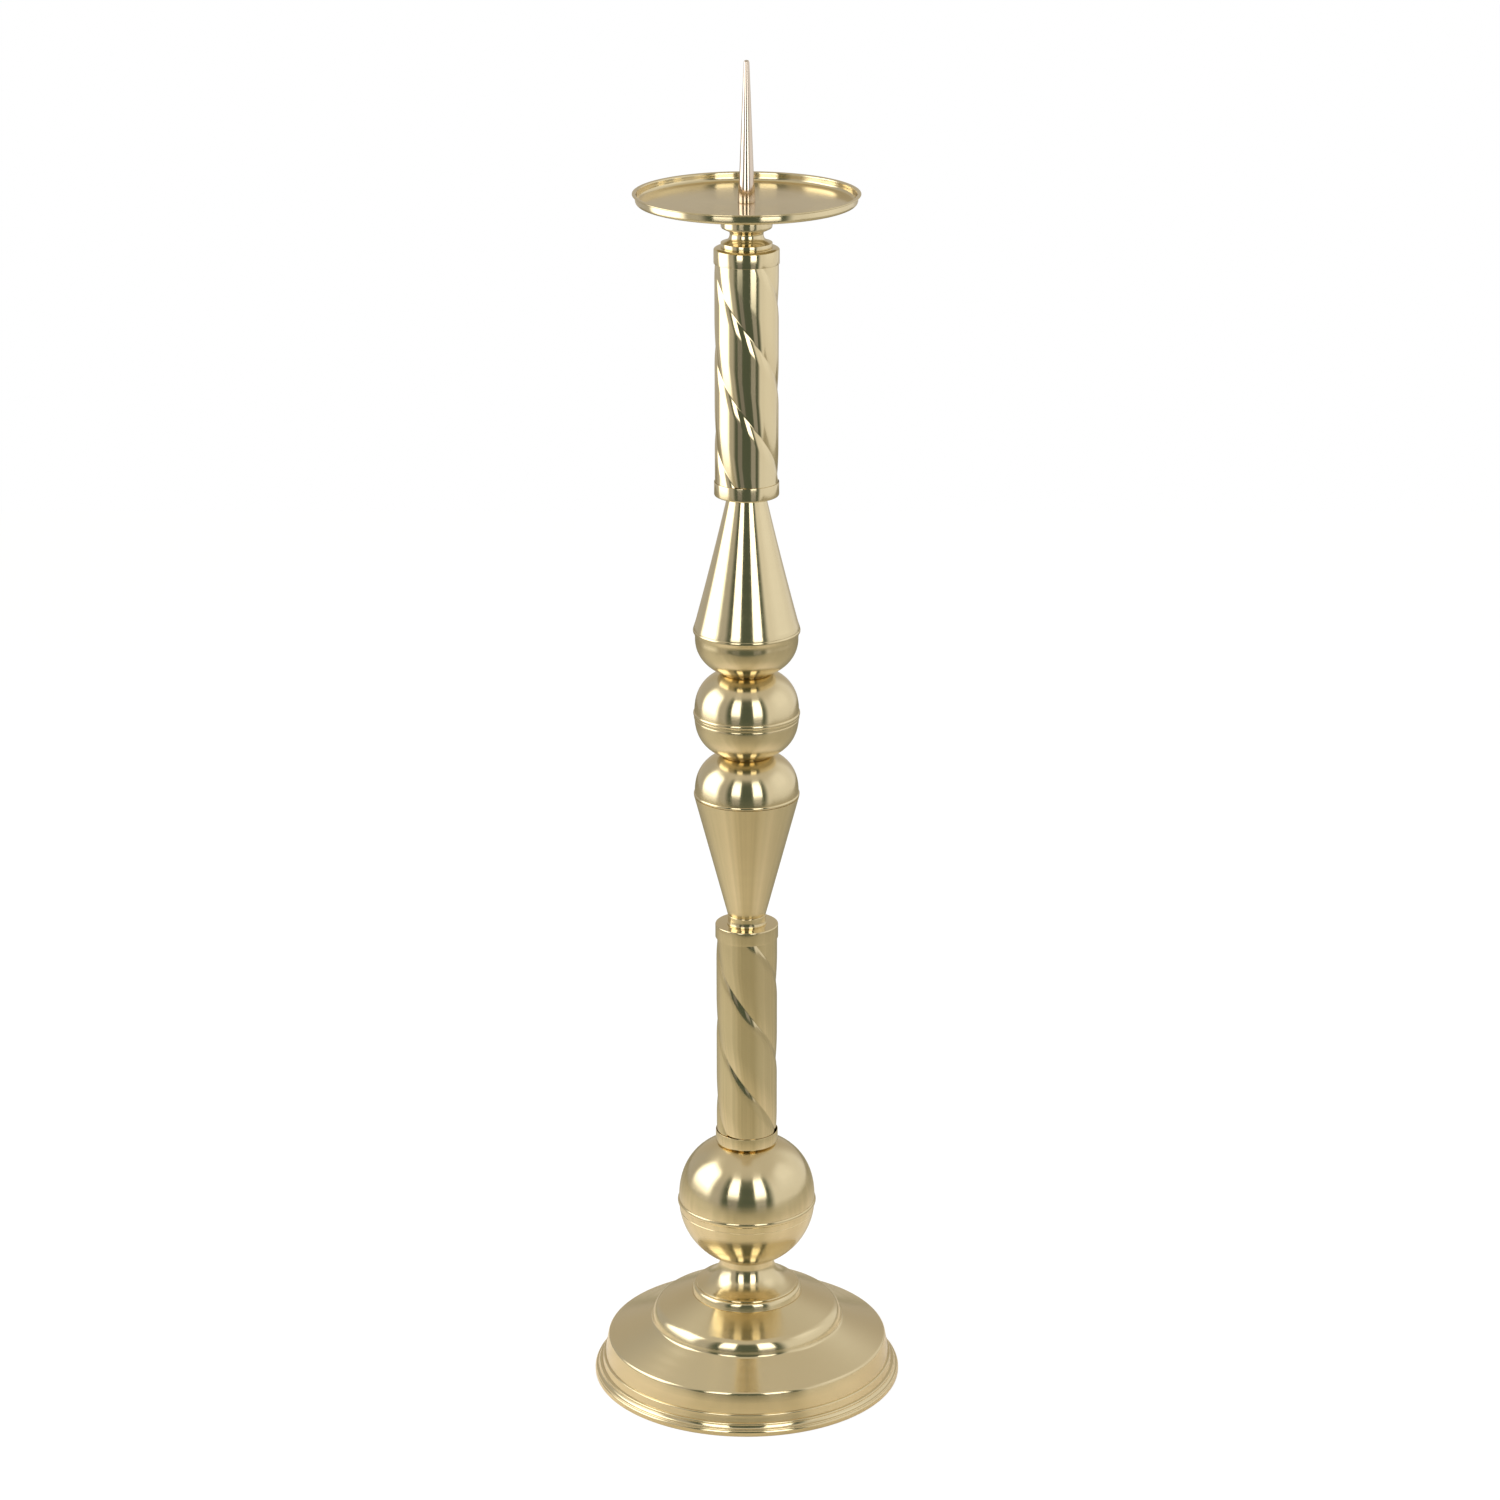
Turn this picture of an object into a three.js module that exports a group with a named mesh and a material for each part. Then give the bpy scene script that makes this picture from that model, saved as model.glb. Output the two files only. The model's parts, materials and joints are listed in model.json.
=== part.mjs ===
// Paschal candlestick: spun and turned brass pieces stacked on one steel tie rod.
// Millimetres, +Z up, origin at the centre of the base, on the surface it stands on.
import * as THREE from 'three';

// Fits between pieces
const seat = 0.02; // play between faces that the tie rod clamps together
const fit = 0.3; // radial clearance of a piece that slips inside another
const rodHoleFit = 0.55; // radial clearance of the rod in a spun end plate

// Sheet thicknesses
const baseSheet = 1.2;
const stemSheet = 1.0;
const panSheet = 1.2;

// Tie rod and its fixings under the base
const rodRadius = 4.85;
const rodEngagement = 8.0; // how far the rod screws into the pan seat
const rodTail = 3.0; // rod end that shows below the nut
const nutAcrossFlats = 17.0;
const nutSides = 6;
const nutHeight = 8.4;
const lockWasherRadius = 8.8;
const lockWasherHeight = 2.2;
const lockWasherSlot = 2.0;
const clampWasherRadius = 22.0;
const clampWasherHeight = 3.0;
const ballastInset = 3.5; // how far the disc stays inside the edge of the lower shelf
const ballastHeight = 14.0;
const ballastEdge = 2.0;

// Base shell, from its flat top outwards and down to the rim
const baseFlatRadius = 50.6;
const upperShelfWidth = 30.4;
const upperShelfDrop = 13.1;
const upperShoulderWidth = 5.6;
const upperShoulderDrop = 6.0;
const upperWallDraft = 0.9;
const upperWallDrop = 8.0;
const lowerShelfWidth = 34.0;
const lowerShelfDrop = 13.0;
const lowerShoulderWidth = 6.8;
const lowerShoulderDrop = 7.0;
const lowerWallDraft = 2.7;
const lowerWallDrop = 14.0;
const flareWidth = 3.0;
const flareDrop = 7.5;
const stepWidth = 2.2;
const stepDrop = 0.7;
const rimTopWidth = 0.6;
const rimTopDrop = 2.3;
const rimSlopeWidth = 3.2;
const rimSlopeDrop = 4.0;
const rimEdgeHeight = 3.5;
const hemWidth = 3.6;

// Trumpet neck of the base
const neckTopRadius = 24.7;
const neckTopLand = 6.1;
const neckFlankHeight = 19.8;
const neckRingRadius = 49.8;
const neckRingHeight = 4.9;
const neckRingRoundWidth = 4.9;
const neckRingRoundHeight = 4.2;

// Large ball: sizes of its two halves about the widest level
const lipHeight = 3.0;
const largeBallRadius = 61.9;
const largeBallBeadStandout = 1.1;
const largeBallBeadHeight = 4.5;
const largeBallSeamDrop = 3.1; // seam below the widest level
const largeBallFootRadius = 24.8;
const largeBallFootDrop = 57.1;
const largeBallFootPower = 2.0;
const largeBallTopRadius = 23.0;
const largeBallTopRise = 57.6;
const largeBallTopPower = 2.34;

// Middle ball
const middleBallRadius = 46.1;
const middleBallBeadStandout = 1.0;
const middleBallBeadHeight = 3.6;
const middleBallSeamDrop = 1.5;
const middleBallFootRadius = 23.0;
const middleBallFootDrop = 37.3;
const middleBallTopRadius = 22.7;
const middleBallTopRise = 37.4;
const middleBallPower = 2.44;

// Lower cone with the dome that closes it
const coneTipRadius = 17.0;
const lowerConeRadius = 46.7;
const lowerConeHeight = 112.4;
const domeRadius = 46.0;
const domeBeadStandout = 0.9;
const domeBeadHeight = 2.9;
const domeSeamDrop = 2.0;
const domeTopRadius = 23.2;
const domeTopRise = 35.8;
const domePower = 2.43;

// Upper bowl with the cone above it
const bowlRadius = 45.3;
const bowlFootRadius = 22.4;
const bowlFootDrop = 30.6;
const bowlPower = 2.15;
const bowlRimFlare = 1.0;
const bowlRimHeight = 5.1;
const upperConeRadius = 46.4;
const upperConeHeight = 123.7;
const upperConeSag = 0.56;
const upperConeBeadStandout = 0.6;
const upperConeBeadHeight = 4.4;

// Washers between the balls
const ballWasherRadius = 21.0;
const ballWasherHeight = 1.0;

// Collar under the lower cone
const collarRadius = 17.0;
const collarHeight = 8.8;
const collarFootWidth = 0.7;
const collarFootHeight = 1.5;

// Twisted tubes with the sleeves that hold their ends
const upperTubeRadius = 27.5;
const upperTubeShown = 191.5;
const lowerTubeRadius = 27.2;
const lowerTubeShown = 186.9;
const tubeNeckDown = 0.6; // how much a tube's ends are drawn in
const tubeChamfer = 0.6;
const upperFerruleHeight = 12.4;
const upperFerruleEdge = 1.5;
const lowerFerruleHeight = 11.2;
const lowerFerruleEdge = 0.8;
const upperCapHeight = 13.6;
const upperCapShoulderWidth = 4.0;
const upperCapShoulderHeight = 2.1;
const lowerCapHeight = 12.5;
const lowerCapShoulderWidth = 1.0;
const lowerCapShoulderHeight = 1.0;

// Flutes: three creases that wind down to the right as seen from any side
const fluteStarts = 3;
const fluteSpacing = 75.0; // height between neighbouring creases
const fluteDepth = 1.1;
const fluteUpperSpread = 28.0; // height over which the wall eases out above a crease
const fluteLowerSpread = 18.0; // height over which it eases out below
const upperFluteOffset = 63.2; // a front crease above the foot of the shown tube
const lowerFluteOffset = 48.8;

// Turned spool and pan seat at the top of the stem
const spoolRadius = 22.1;
const spoolBand = 4.2;
const spoolHeight = 11.6;
const waistRadius = 14.3;
const panSeatHeight = 25.8;
const panSeatRadius = 22.1;
const panSeatUndercut = 4.7;
const panSeatEdgeHeight = 1.4;

// Drip pan
const panFloorRadius = 88.6;
const panCornerWidth = 6.1;
const panCornerRise = 4.4;
const panWallRise = 3.5;
const panLipWidth = 2.4;

// Spike with its threaded stud and washer
const spikeFootRadius = 7.4;
const spikeFootHeight = 2.6;
const spikeFlareHeight = 15.5;
const spikeShaftRadius = 6.1;
const spikeTipRadius = 2.4;
const spikeHeight = 120.4;
const spikePoint = 2.4;
const studLength = 9.5;
const studHoleRoom = 1.5; // empty depth below the stud
const spikeWasherHeight = 1.0;

// Number of flats round a turned piece
const fineSides = 32;
const sides = 24;
const smallSides = 16;
const tubeSides = 24;

const brass = () => new THREE.MeshStandardMaterial({ color: 0xc9b783, metalness: 1, roughness: 0.28 });
const spikeBrass = () => new THREE.MeshStandardMaterial({ color: 0xd2bfa2, metalness: 1, roughness: 0.32 });
const steel = () => new THREE.MeshStandardMaterial({ color: 0xa7a9a8, metalness: 1, roughness: 0.4 });
const iron = () => new THREE.MeshStandardMaterial({ color: 0x3b3a38, metalness: 0.7, roughness: 0.75 });

const candlestick = new THREE.Group();

// Share of a rounded edge that its first, flatter facet takes: of the width and of the height
const facetWidth = 0.7;
const facetHeight = 0.35;

// Heights of whole pieces
const baseHeight = rimEdgeHeight + rimSlopeDrop + rimTopDrop + stepDrop + flareDrop + lowerWallDrop
  + lowerShoulderDrop + lowerShelfDrop + upperWallDrop + upperShoulderDrop + upperShelfDrop;
const neckHeight = neckRingHeight + neckRingRoundHeight + neckFlankHeight + neckTopLand;
const largeLowerHeight = largeBallFootDrop - largeBallSeamDrop;
const largeUpperHeight = largeBallTopRise + largeBallSeamDrop;
const middleLowerHeight = middleBallFootDrop - middleBallSeamDrop;
const middleUpperHeight = middleBallTopRise + middleBallSeamDrop;
const domeHeight = domeTopRise + domeSeamDrop;
const bowlHeight = bowlFootDrop + bowlRimHeight;

// Level of the underside of each piece in the stack, from the floor up
const neckLevel = baseHeight + seat;
const largeLowerLevel = neckLevel + neckHeight + seat;
const largeUpperLevel = largeLowerLevel + largeLowerHeight + seat;
const lowerFerruleLevel = largeUpperLevel + largeUpperHeight + seat;
const lowerCapLevel = lowerFerruleLevel + lowerFerruleHeight + lowerTubeShown;
const collarLevel = lowerCapLevel + lowerCapHeight + seat;
const lowerConeLevel = collarLevel + collarHeight + seat;
const domeLevel = lowerConeLevel + lowerConeHeight + seat;
const lowerWasherLevel = domeLevel + domeHeight + seat;
const middleLowerLevel = lowerWasherLevel + ballWasherHeight + seat;
const middleUpperLevel = middleLowerLevel + middleLowerHeight + seat;
const upperWasherLevel = middleUpperLevel + middleUpperHeight + seat;
const bowlLevel = upperWasherLevel + ballWasherHeight + seat;
const upperConeLevel = bowlLevel + bowlHeight + seat;
const upperFerruleLevel = upperConeLevel + upperConeHeight + seat;
const upperCapLevel = upperFerruleLevel + upperFerruleHeight + upperTubeShown;
const spoolLevel = upperCapLevel + upperCapHeight + seat;
const panSeatLevel = spoolLevel + spoolHeight + seat;
const panLevel = panSeatLevel + panSeatHeight + seat;
const spikeLevel = panLevel + spikeWasherHeight + seat;

// Radii that follow from the sizes above
const rodHole = rodRadius + rodHoleFit;
const threadHole = rodRadius + fit;
const spikeHole = spikeFootRadius + fit;
const lowerShelfInner = baseFlatRadius + upperShelfWidth + upperShoulderWidth + upperWallDraft;
const ballastRadius = lowerShelfInner + lowerShelfWidth - ballastInset;

function addPiece(name, geometry, material, level) {
  const mesh = new THREE.Mesh(geometry, material);
  mesh.name = name;
  mesh.position.z = level;
  candlestick.add(mesh);
}

// A turned solid from [radius, height] points that run round it with the metal on their left
function turned(name, profile, count, material, level) {
  const points = profile.map(([radius, height]) => new THREE.Vector2(radius, height));
  if (profile[0][0] > 0) points.push(points[0].clone());
  const geometry = new THREE.LatheGeometry(points, count);
  geometry.rotateX(Math.PI / 2);
  addPiece(name, geometry, material, level);
}

// The same line moved to its left by the sheet's thickness, with mitred corners
function offsetLine(line, thickness) {
  const normals = line.slice(1).map(([radius, height], i) => {
    const along = new THREE.Vector2(radius - line[i][0], height - line[i][1]).normalize();
    return new THREE.Vector2(-along.y, along.x);
  });
  return line.map(([radius, height], i) => {
    const before = normals[Math.max(i - 1, 0)];
    const after = normals[Math.min(i, normals.length - 1)];
    const shift = before.clone().add(after);
    shift.multiplyScalar(thickness * 2 / shift.lengthSq());
    return [radius + shift.x, height + shift.y];
  });
}

// A piece spun from sheet: its outer line and the same line on the inside
function spun(name, line, thickness, count, level) {
  turned(name, [...line, ...offsetLine(line, thickness).reverse()], count, brass(), level);
}

// Part of a squared-off round section between two distances from its widest level
function roundSection(radius, power, start, end, endRadius, steps) {
  const full = end / (1 - (endRadius / radius) ** power) ** (1 / power);
  const angleAt = (distance) => Math.asin((distance / full) ** (power / 2));
  const first = angleAt(start);
  const last = angleAt(end);
  return Array.from({ length: steps + 1 }, (_, i) => {
    const angle = first + (last - first) * i / steps;
    return [radius * Math.cos(angle) ** (2 / power), full * Math.sin(angle) ** (2 / power)];
  });
}

// Lower half of a hollow: its foot plate, its curve and a lip that centres the upper half
function lowerHalf(name, line, height, matchRadius, level) {
  const lipRadius = matchRadius - stemSheet - fit;
  const outer = [[rodHole, 0], ...line, [lipRadius, height], [lipRadius, height + lipHeight]];
  spun(name, outer, stemSheet, sides, level);
}

// Upper half of a hollow: a rolled bead at its rim, its curve and its top plate
function upperHalf(name, line, height, bead, level) {
  const rim = line[0][0];
  const foot = [[rim, 0], ...line, [rodHole, height]];
  const rolled = [
    [rim + bead.standout * 0.5, 0],
    [rim + bead.standout, bead.height * 0.25],
    [rim + bead.standout, bead.height * 0.75],
  ];
  const outer = [...rolled, ...foot.slice(1)];
  turned(name, [...outer, ...offsetLine(foot, stemSheet).reverse()], sides, brass(), level);
}

// A flat washer
function washer(name, outer, inner, height, material, level) {
  turned(name, [[inner, 0], [outer, 0], [outer, height], [inner, height]], smallSides, material, level);
}

// A prism on the axis from a drawn outline
function prism(name, shape, height, material, level) {
  const options = { depth: height, bevelEnabled: false, curveSegments: smallSides };
  addPiece(name, new THREE.ExtrudeGeometry(shape, options), material, level);
}

function baseShell() {
  const line = [[rodHole, baseHeight]];
  let radius = baseFlatRadius;
  let height = baseHeight;
  const go = (width, drop) => {
    radius += width;
    height -= drop;
    line.push([radius, height]);
  };
  // A rounded shoulder in two facets: the first wide, the second steep
  const shoulder = (width, drop) => {
    go(width * facetWidth, drop * facetHeight);
    go(width * (1 - facetWidth), drop * (1 - facetHeight));
  };
  go(0, 0);
  go(upperShelfWidth, upperShelfDrop);
  shoulder(upperShoulderWidth, upperShoulderDrop);
  go(upperWallDraft, upperWallDrop);
  go(lowerShelfWidth, lowerShelfDrop);
  shoulder(lowerShoulderWidth, lowerShoulderDrop);
  go(lowerWallDraft, lowerWallDrop);
  go(flareWidth, flareDrop);
  go(stepWidth, stepDrop);
  go(rimTopWidth, rimTopDrop);
  go(rimSlopeWidth, rimSlopeDrop);
  go(0, rimEdgeHeight);
  go(-hemWidth, 0);
  spun('base_shell', line.reverse(), baseSheet, fineSides, 0);
}

function baseNeck() {
  const roundTop = neckRingHeight + neckRingRoundHeight;
  const flankRadius = neckRingRadius - neckRingRoundWidth;
  // The trumpet's flank as shares of its width and of its height
  const flank = [[0.2, 0.08], [0.49, 0.24], [0.76, 0.5], [0.93, 0.8], [1, 1]].map(([inward, up]) => [
    flankRadius + (neckTopRadius - flankRadius) * inward,
    roundTop + neckFlankHeight * up,
  ]);
  const line = [
    [neckRingRadius, 0],
    [neckRingRadius, neckRingHeight],
    [
      neckRingRadius - neckRingRoundWidth * (1 - facetWidth),
      neckRingHeight + neckRingRoundHeight * (1 - facetHeight),
    ],
    [flankRadius, roundTop],
    ...flank,
    [neckTopRadius, neckHeight],
    [rodHole, neckHeight],
  ];
  spun('base_neck', line, stemSheet, sides, neckLevel);
}

// The disc's upper edge bears up against the sloping underside of the lower shelf
function ballast() {
  const slope = lowerShelfDrop / lowerShelfWidth;
  const shelfHeight = baseHeight - upperShelfDrop - upperShoulderDrop - upperWallDrop;
  const sheetHeight = baseSheet * Math.hypot(1, slope);
  const top = shelfHeight - slope * (ballastRadius - lowerShelfInner) - sheetHeight - fit;
  const disc = [
    [rodHole, 0],
    [ballastRadius - ballastEdge, 0],
    [ballastRadius, ballastEdge],
    [ballastRadius, ballastHeight],
    [rodHole, ballastHeight],
  ];
  turned('ballast_disc', disc, fineSides, iron(), top - ballastHeight);
  return top - ballastHeight;
}

function baseFixings(ballastBottom) {
  const clampLevel = ballastBottom - seat - clampWasherHeight;
  washer('clamp_washer', clampWasherRadius, rodHole, clampWasherHeight, steel(), clampLevel);

  const lockLevel = clampLevel - seat - lockWasherHeight;
  const gap = Math.asin(lockWasherSlot / 2 / lockWasherRadius);
  const innerGap = Math.asin(lockWasherSlot / 2 / threadHole);
  const split = new THREE.Shape();
  split.absarc(0, 0, lockWasherRadius, gap, Math.PI * 2 - gap, false);
  split.absarc(0, 0, threadHole, Math.PI * 2 - innerGap, innerGap, true);
  split.closePath();
  prism('lock_washer', split, lockWasherHeight, steel(), lockLevel);

  const nutLevel = lockLevel - seat - nutHeight;
  const corner = nutAcrossFlats / 2 / Math.cos(Math.PI / nutSides);
  const corners = Array.from({ length: nutSides }, (_, i) => {
    const angle = i * 2 * Math.PI / nutSides;
    return new THREE.Vector2(corner * Math.cos(angle), corner * Math.sin(angle));
  });
  const hexagon = new THREE.Shape(corners);
  hexagon.holes.push(new THREE.Path().absarc(0, 0, threadHole, 0, Math.PI * 2, true));
  prism('base_nut', hexagon, nutHeight, steel(), nutLevel);
  return nutLevel;
}

function tieRod(nutLevel) {
  const bottom = nutLevel - rodTail;
  const length = panSeatLevel + rodEngagement - bottom;
  const rod = [[0, 0], [rodRadius, 0], [rodRadius, length], [0, length]];
  turned('tie_rod', rod, smallSides, steel(), bottom);
}

// Foot of a hollow seen from its underside, and crown of one seen from its seam
const footLine = (section, drop) => section.map(([radius, down]) => [radius, drop - down]).reverse();
const crownLine = (section, drop) => section.map(([radius, up]) => [radius, up + drop]);

function largeBall() {
  const foot = roundSection(
    largeBallRadius, largeBallFootPower, largeBallSeamDrop, largeBallFootDrop, largeBallFootRadius, 5,
  );
  const lower = footLine(foot, largeBallFootDrop);
  lowerHalf('large_ball_lower', lower, largeLowerHeight, largeBallRadius, largeLowerLevel);

  const shownFrom = largeBallBeadHeight - largeBallSeamDrop;
  const crown = roundSection(
    largeBallRadius, largeBallTopPower, shownFrom, largeBallTopRise, largeBallTopRadius, 6,
  );
  const bead = { standout: largeBallBeadStandout, height: largeBallBeadHeight };
  const upper = crownLine(crown, largeBallSeamDrop);
  upperHalf('large_ball_upper', upper, largeUpperHeight, bead, largeUpperLevel);
}

function middleBall() {
  const foot = roundSection(
    middleBallRadius, middleBallPower, middleBallSeamDrop, middleBallFootDrop, middleBallFootRadius, 4,
  );
  const lower = footLine(foot, middleBallFootDrop);
  lowerHalf('middle_ball_lower', lower, middleLowerHeight, middleBallRadius, middleLowerLevel);

  const shownFrom = middleBallBeadHeight - middleBallSeamDrop;
  const crown = roundSection(
    middleBallRadius, middleBallPower, shownFrom, middleBallTopRise, middleBallTopRadius, 4,
  );
  const bead = { standout: middleBallBeadStandout, height: middleBallBeadHeight };
  const upper = crownLine(crown, middleBallSeamDrop);
  upperHalf('middle_ball_upper', upper, middleUpperHeight, bead, middleUpperLevel);
}

function lowerConeAndDome() {
  const flank = [[coneTipRadius, 0], [lowerConeRadius, lowerConeHeight]];
  lowerHalf('lower_cone', flank, lowerConeHeight, domeRadius, lowerConeLevel);

  const shownFrom = domeBeadHeight - domeSeamDrop;
  const crown = roundSection(domeRadius, domePower, shownFrom, domeTopRise, domeTopRadius, 4);
  const bead = { standout: domeBeadStandout, height: domeBeadHeight };
  upperHalf('lower_dome', crownLine(crown, domeSeamDrop), domeHeight, bead, domeLevel);
}

function bowlAndUpperCone() {
  const foot = roundSection(bowlRadius, bowlPower, 0, bowlFootDrop, bowlFootRadius, 4);
  const lower = [...footLine(foot, bowlFootDrop), [bowlRadius + bowlRimFlare, bowlHeight]];
  lowerHalf('upper_bowl', lower, bowlHeight, upperConeRadius, bowlLevel);

  const rise = upperConeHeight - upperConeBeadHeight;
  const flank = [0, 0.25, 0.5, 0.75, 1].map((share) => [
    upperConeRadius + (coneTipRadius - upperConeRadius) * share - 4 * upperConeSag * share * (1 - share),
    upperConeBeadHeight + rise * share,
  ]);
  const bead = { standout: upperConeBeadStandout, height: upperConeBeadHeight };
  upperHalf('upper_cone', flank, upperConeHeight, bead, upperConeLevel);
}

function coneCollar() {
  const footRadius = collarRadius + collarFootWidth;
  const profile = [
    [rodHole, 0],
    [footRadius, 0],
    [footRadius, collarFootHeight],
    [collarRadius, collarFootHeight],
    [collarRadius, collarHeight],
    [rodHole, collarHeight],
  ];
  turned('cone_collar', profile, smallSides, brass(), collarLevel);
}

// Radius of a fluted tube at an angle from the front and a height above a front crease
function flutedRadius(radius, angle, height) {
  const turn = angle / (Math.PI * 2);
  const above = THREE.MathUtils.euclideanModulo(height + turn * fluteStarts * fluteSpacing, fluteSpacing);
  const fromUpper = Math.max(0, 1 - above / fluteUpperSpread);
  const fromLower = Math.max(0, 1 - (fluteSpacing - above) / fluteLowerSpread);
  return radius - fluteDepth * Math.max(fromUpper, fromLower) ** 2;
}

// Heights of the rings of a fluted length, placed so that corners fall on the creases
function fluteRows(length, offset) {
  const pitch = fluteSpacing * fluteStarts / tubeSides;
  const first = offset - Math.floor((offset - tubeChamfer) / pitch) * pitch;
  const rows = [tubeChamfer];
  for (let height = first; height < length - tubeChamfer; height += pitch) {
    if (height > tubeChamfer + pitch * 0.2 && height < length - tubeChamfer - pitch * 0.2) rows.push(height);
  }
  rows.push(length - tubeChamfer);
  return rows;
}

// A closed body from rings of corners, each ring given as its height and its radius at an angle
function ringBody(name, rings, level) {
  const positions = [];
  const indices = [];
  rings.forEach(([height, radiusAt], row) => {
    const next = (row + 1) % rings.length;
    for (let i = 0; i < tubeSides; i += 1) {
      const angle = i / tubeSides * Math.PI * 2;
      const radius = radiusAt(angle);
      positions.push(radius * Math.sin(angle), -radius * Math.cos(angle), height);
      const j = (i + 1) % tubeSides;
      const [a, b] = [row * tubeSides + i, row * tubeSides + j];
      const [c, d] = [next * tubeSides + j, next * tubeSides + i];
      indices.push(a, b, d, b, c, d);
    }
  });
  const geometry = new THREE.BufferGeometry();
  geometry.setAttribute('position', new THREE.Float32BufferAttribute(positions, 3));
  geometry.setIndex(indices);
  geometry.computeVertexNormals();
  addPiece(name, geometry, brass(), level);
}

// A twisted tube whose plain drawn-in ends stand in the ferrule and the cap
function twistTube(name, radius, shown, footLength, headLength, offset, level) {
  const endRadius = radius - tubeNeckDown;
  const bore = radius - Math.max(tubeNeckDown, fluteDepth) - stemSheet;
  const plain = () => endRadius;
  const inside = () => bore;
  const fluted = fluteRows(shown, offset).map((height) => [
    footLength + height,
    (angle) => flutedRadius(radius, angle, height - offset),
  ]);
  const length = footLength + shown + headLength;
  const rings = [
    [0, plain],
    [footLength, plain],
    ...fluted,
    [footLength + shown, plain],
    [length, plain],
    [length, inside],
    [0, inside],
  ];
  ringBody(name, rings, level);
}

// Cup under a tube: its wall goes round the tube's drawn-in end
function ferrule(name, outer, height, edge, level) {
  const profile = [
    [rodHole, 0],
    [outer - edge, 0],
    [outer - edge * facetHeight, edge * facetHeight],
    [outer, edge],
    [outer, height],
    [outer - stemSheet, height],
    [outer - stemSheet, Math.max(stemSheet, edge)],
    [rodHole, Math.max(stemSheet, edge)],
  ];
  turned(name, profile, tubeSides, brass(), level);
}

// Cap over a tube with a rounded shoulder
function cap(name, outer, height, shoulder, level) {
  const plate = Math.max(stemSheet, shoulder.height);
  const profile = [
    [outer - stemSheet, 0],
    [outer, 0],
    [outer, height - shoulder.height],
    [outer - shoulder.width * (1 - facetWidth), height - shoulder.height * facetHeight],
    [outer - shoulder.width, height],
    [rodHole, height],
    [rodHole, height - plate],
    [outer - stemSheet, height - plate],
  ];
  turned(name, profile, tubeSides, brass(), level);
}

// A twisted tube between its ferrule and its cap
function tubeAssembly(prefix, level, tube, foot, head) {
  const sleeve = tube.radius - tubeNeckDown + fit + stemSheet;
  const footPlate = Math.max(stemSheet, foot.edge);
  const headPlate = Math.max(stemSheet, head.shoulder.height);
  const footLength = foot.height - footPlate - seat;
  const headLength = head.height - headPlate - seat;
  const tubeLevel = level + footPlate + seat;
  ferrule(`${prefix}_tube_ferrule`, sleeve, foot.height, foot.edge, level);
  twistTube(`${prefix}_twist_tube`, tube.radius, tube.shown, footLength, headLength, tube.offset, tubeLevel);
  cap(`${prefix}_tube_cap`, sleeve, head.height, head.shoulder, level + foot.height + tube.shown);
}

function tubes() {
  const lowerTube = { radius: lowerTubeRadius, shown: lowerTubeShown, offset: lowerFluteOffset };
  const lowerFoot = { height: lowerFerruleHeight, edge: lowerFerruleEdge };
  const lowerHead = {
    height: lowerCapHeight,
    shoulder: { width: lowerCapShoulderWidth, height: lowerCapShoulderHeight },
  };
  tubeAssembly('lower', lowerFerruleLevel, lowerTube, lowerFoot, lowerHead);
  const upperTube = { radius: upperTubeRadius, shown: upperTubeShown, offset: upperFluteOffset };
  const upperFoot = { height: upperFerruleHeight, edge: upperFerruleEdge };
  const upperHead = {
    height: upperCapHeight,
    shoulder: { width: upperCapShoulderWidth, height: upperCapShoulderHeight },
  };
  tubeAssembly('upper', upperFerruleLevel, upperTube, upperFoot, upperHead);
}

function spool() {
  const rise = spoolHeight - spoolBand;
  const hollow = [[0.08, 0.5], [0.3, 0.8], [0.6, 0.95], [0.85, 1]].map(([up, inward]) => [
    spoolRadius + (waistRadius - spoolRadius) * inward,
    spoolBand + rise * up,
  ]);
  const profile = [
    [rodHole, 0],
    [spoolRadius, 0],
    [spoolRadius, spoolBand],
    ...hollow,
    [waistRadius, spoolHeight],
    [rodHole, spoolHeight],
  ];
  turned('neck_spool', profile, smallSides, brass(), spoolLevel);
}

function panSeat() {
  const spread = panSeatRadius - waistRadius;
  const studFloor = panSeatHeight - studLength - studHoleRoom;
  const profile = [
    [0, rodEngagement + fit],
    [threadHole, rodEngagement + fit],
    [threadHole, 0],
    [waistRadius, 0],
    [waistRadius + spread * 0.14, panSeatUndercut * 0.4],
    [panSeatRadius - spread * 0.14, panSeatUndercut],
    [panSeatRadius, panSeatUndercut + panSeatEdgeHeight],
    [panSeatRadius, panSeatHeight],
    [threadHole, panSeatHeight],
    [threadHole, studFloor],
    [0, studFloor],
  ];
  turned('pan_seat', profile, smallSides, brass(), panSeatLevel);
}

function dripPan() {
  const wallRadius = panFloorRadius + panCornerWidth;
  const wallTop = panCornerRise + panWallRise;
  const line = [
    [spikeHole, 0],
    [panFloorRadius, 0],
    [panFloorRadius + panCornerWidth * facetWidth, panCornerRise * facetHeight],
    [wallRadius, panCornerRise],
    [wallRadius, wallTop],
    [wallRadius + panLipWidth, wallTop],
  ];
  spun('drip_pan', line, panSheet, fineSides, panLevel);
}

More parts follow.
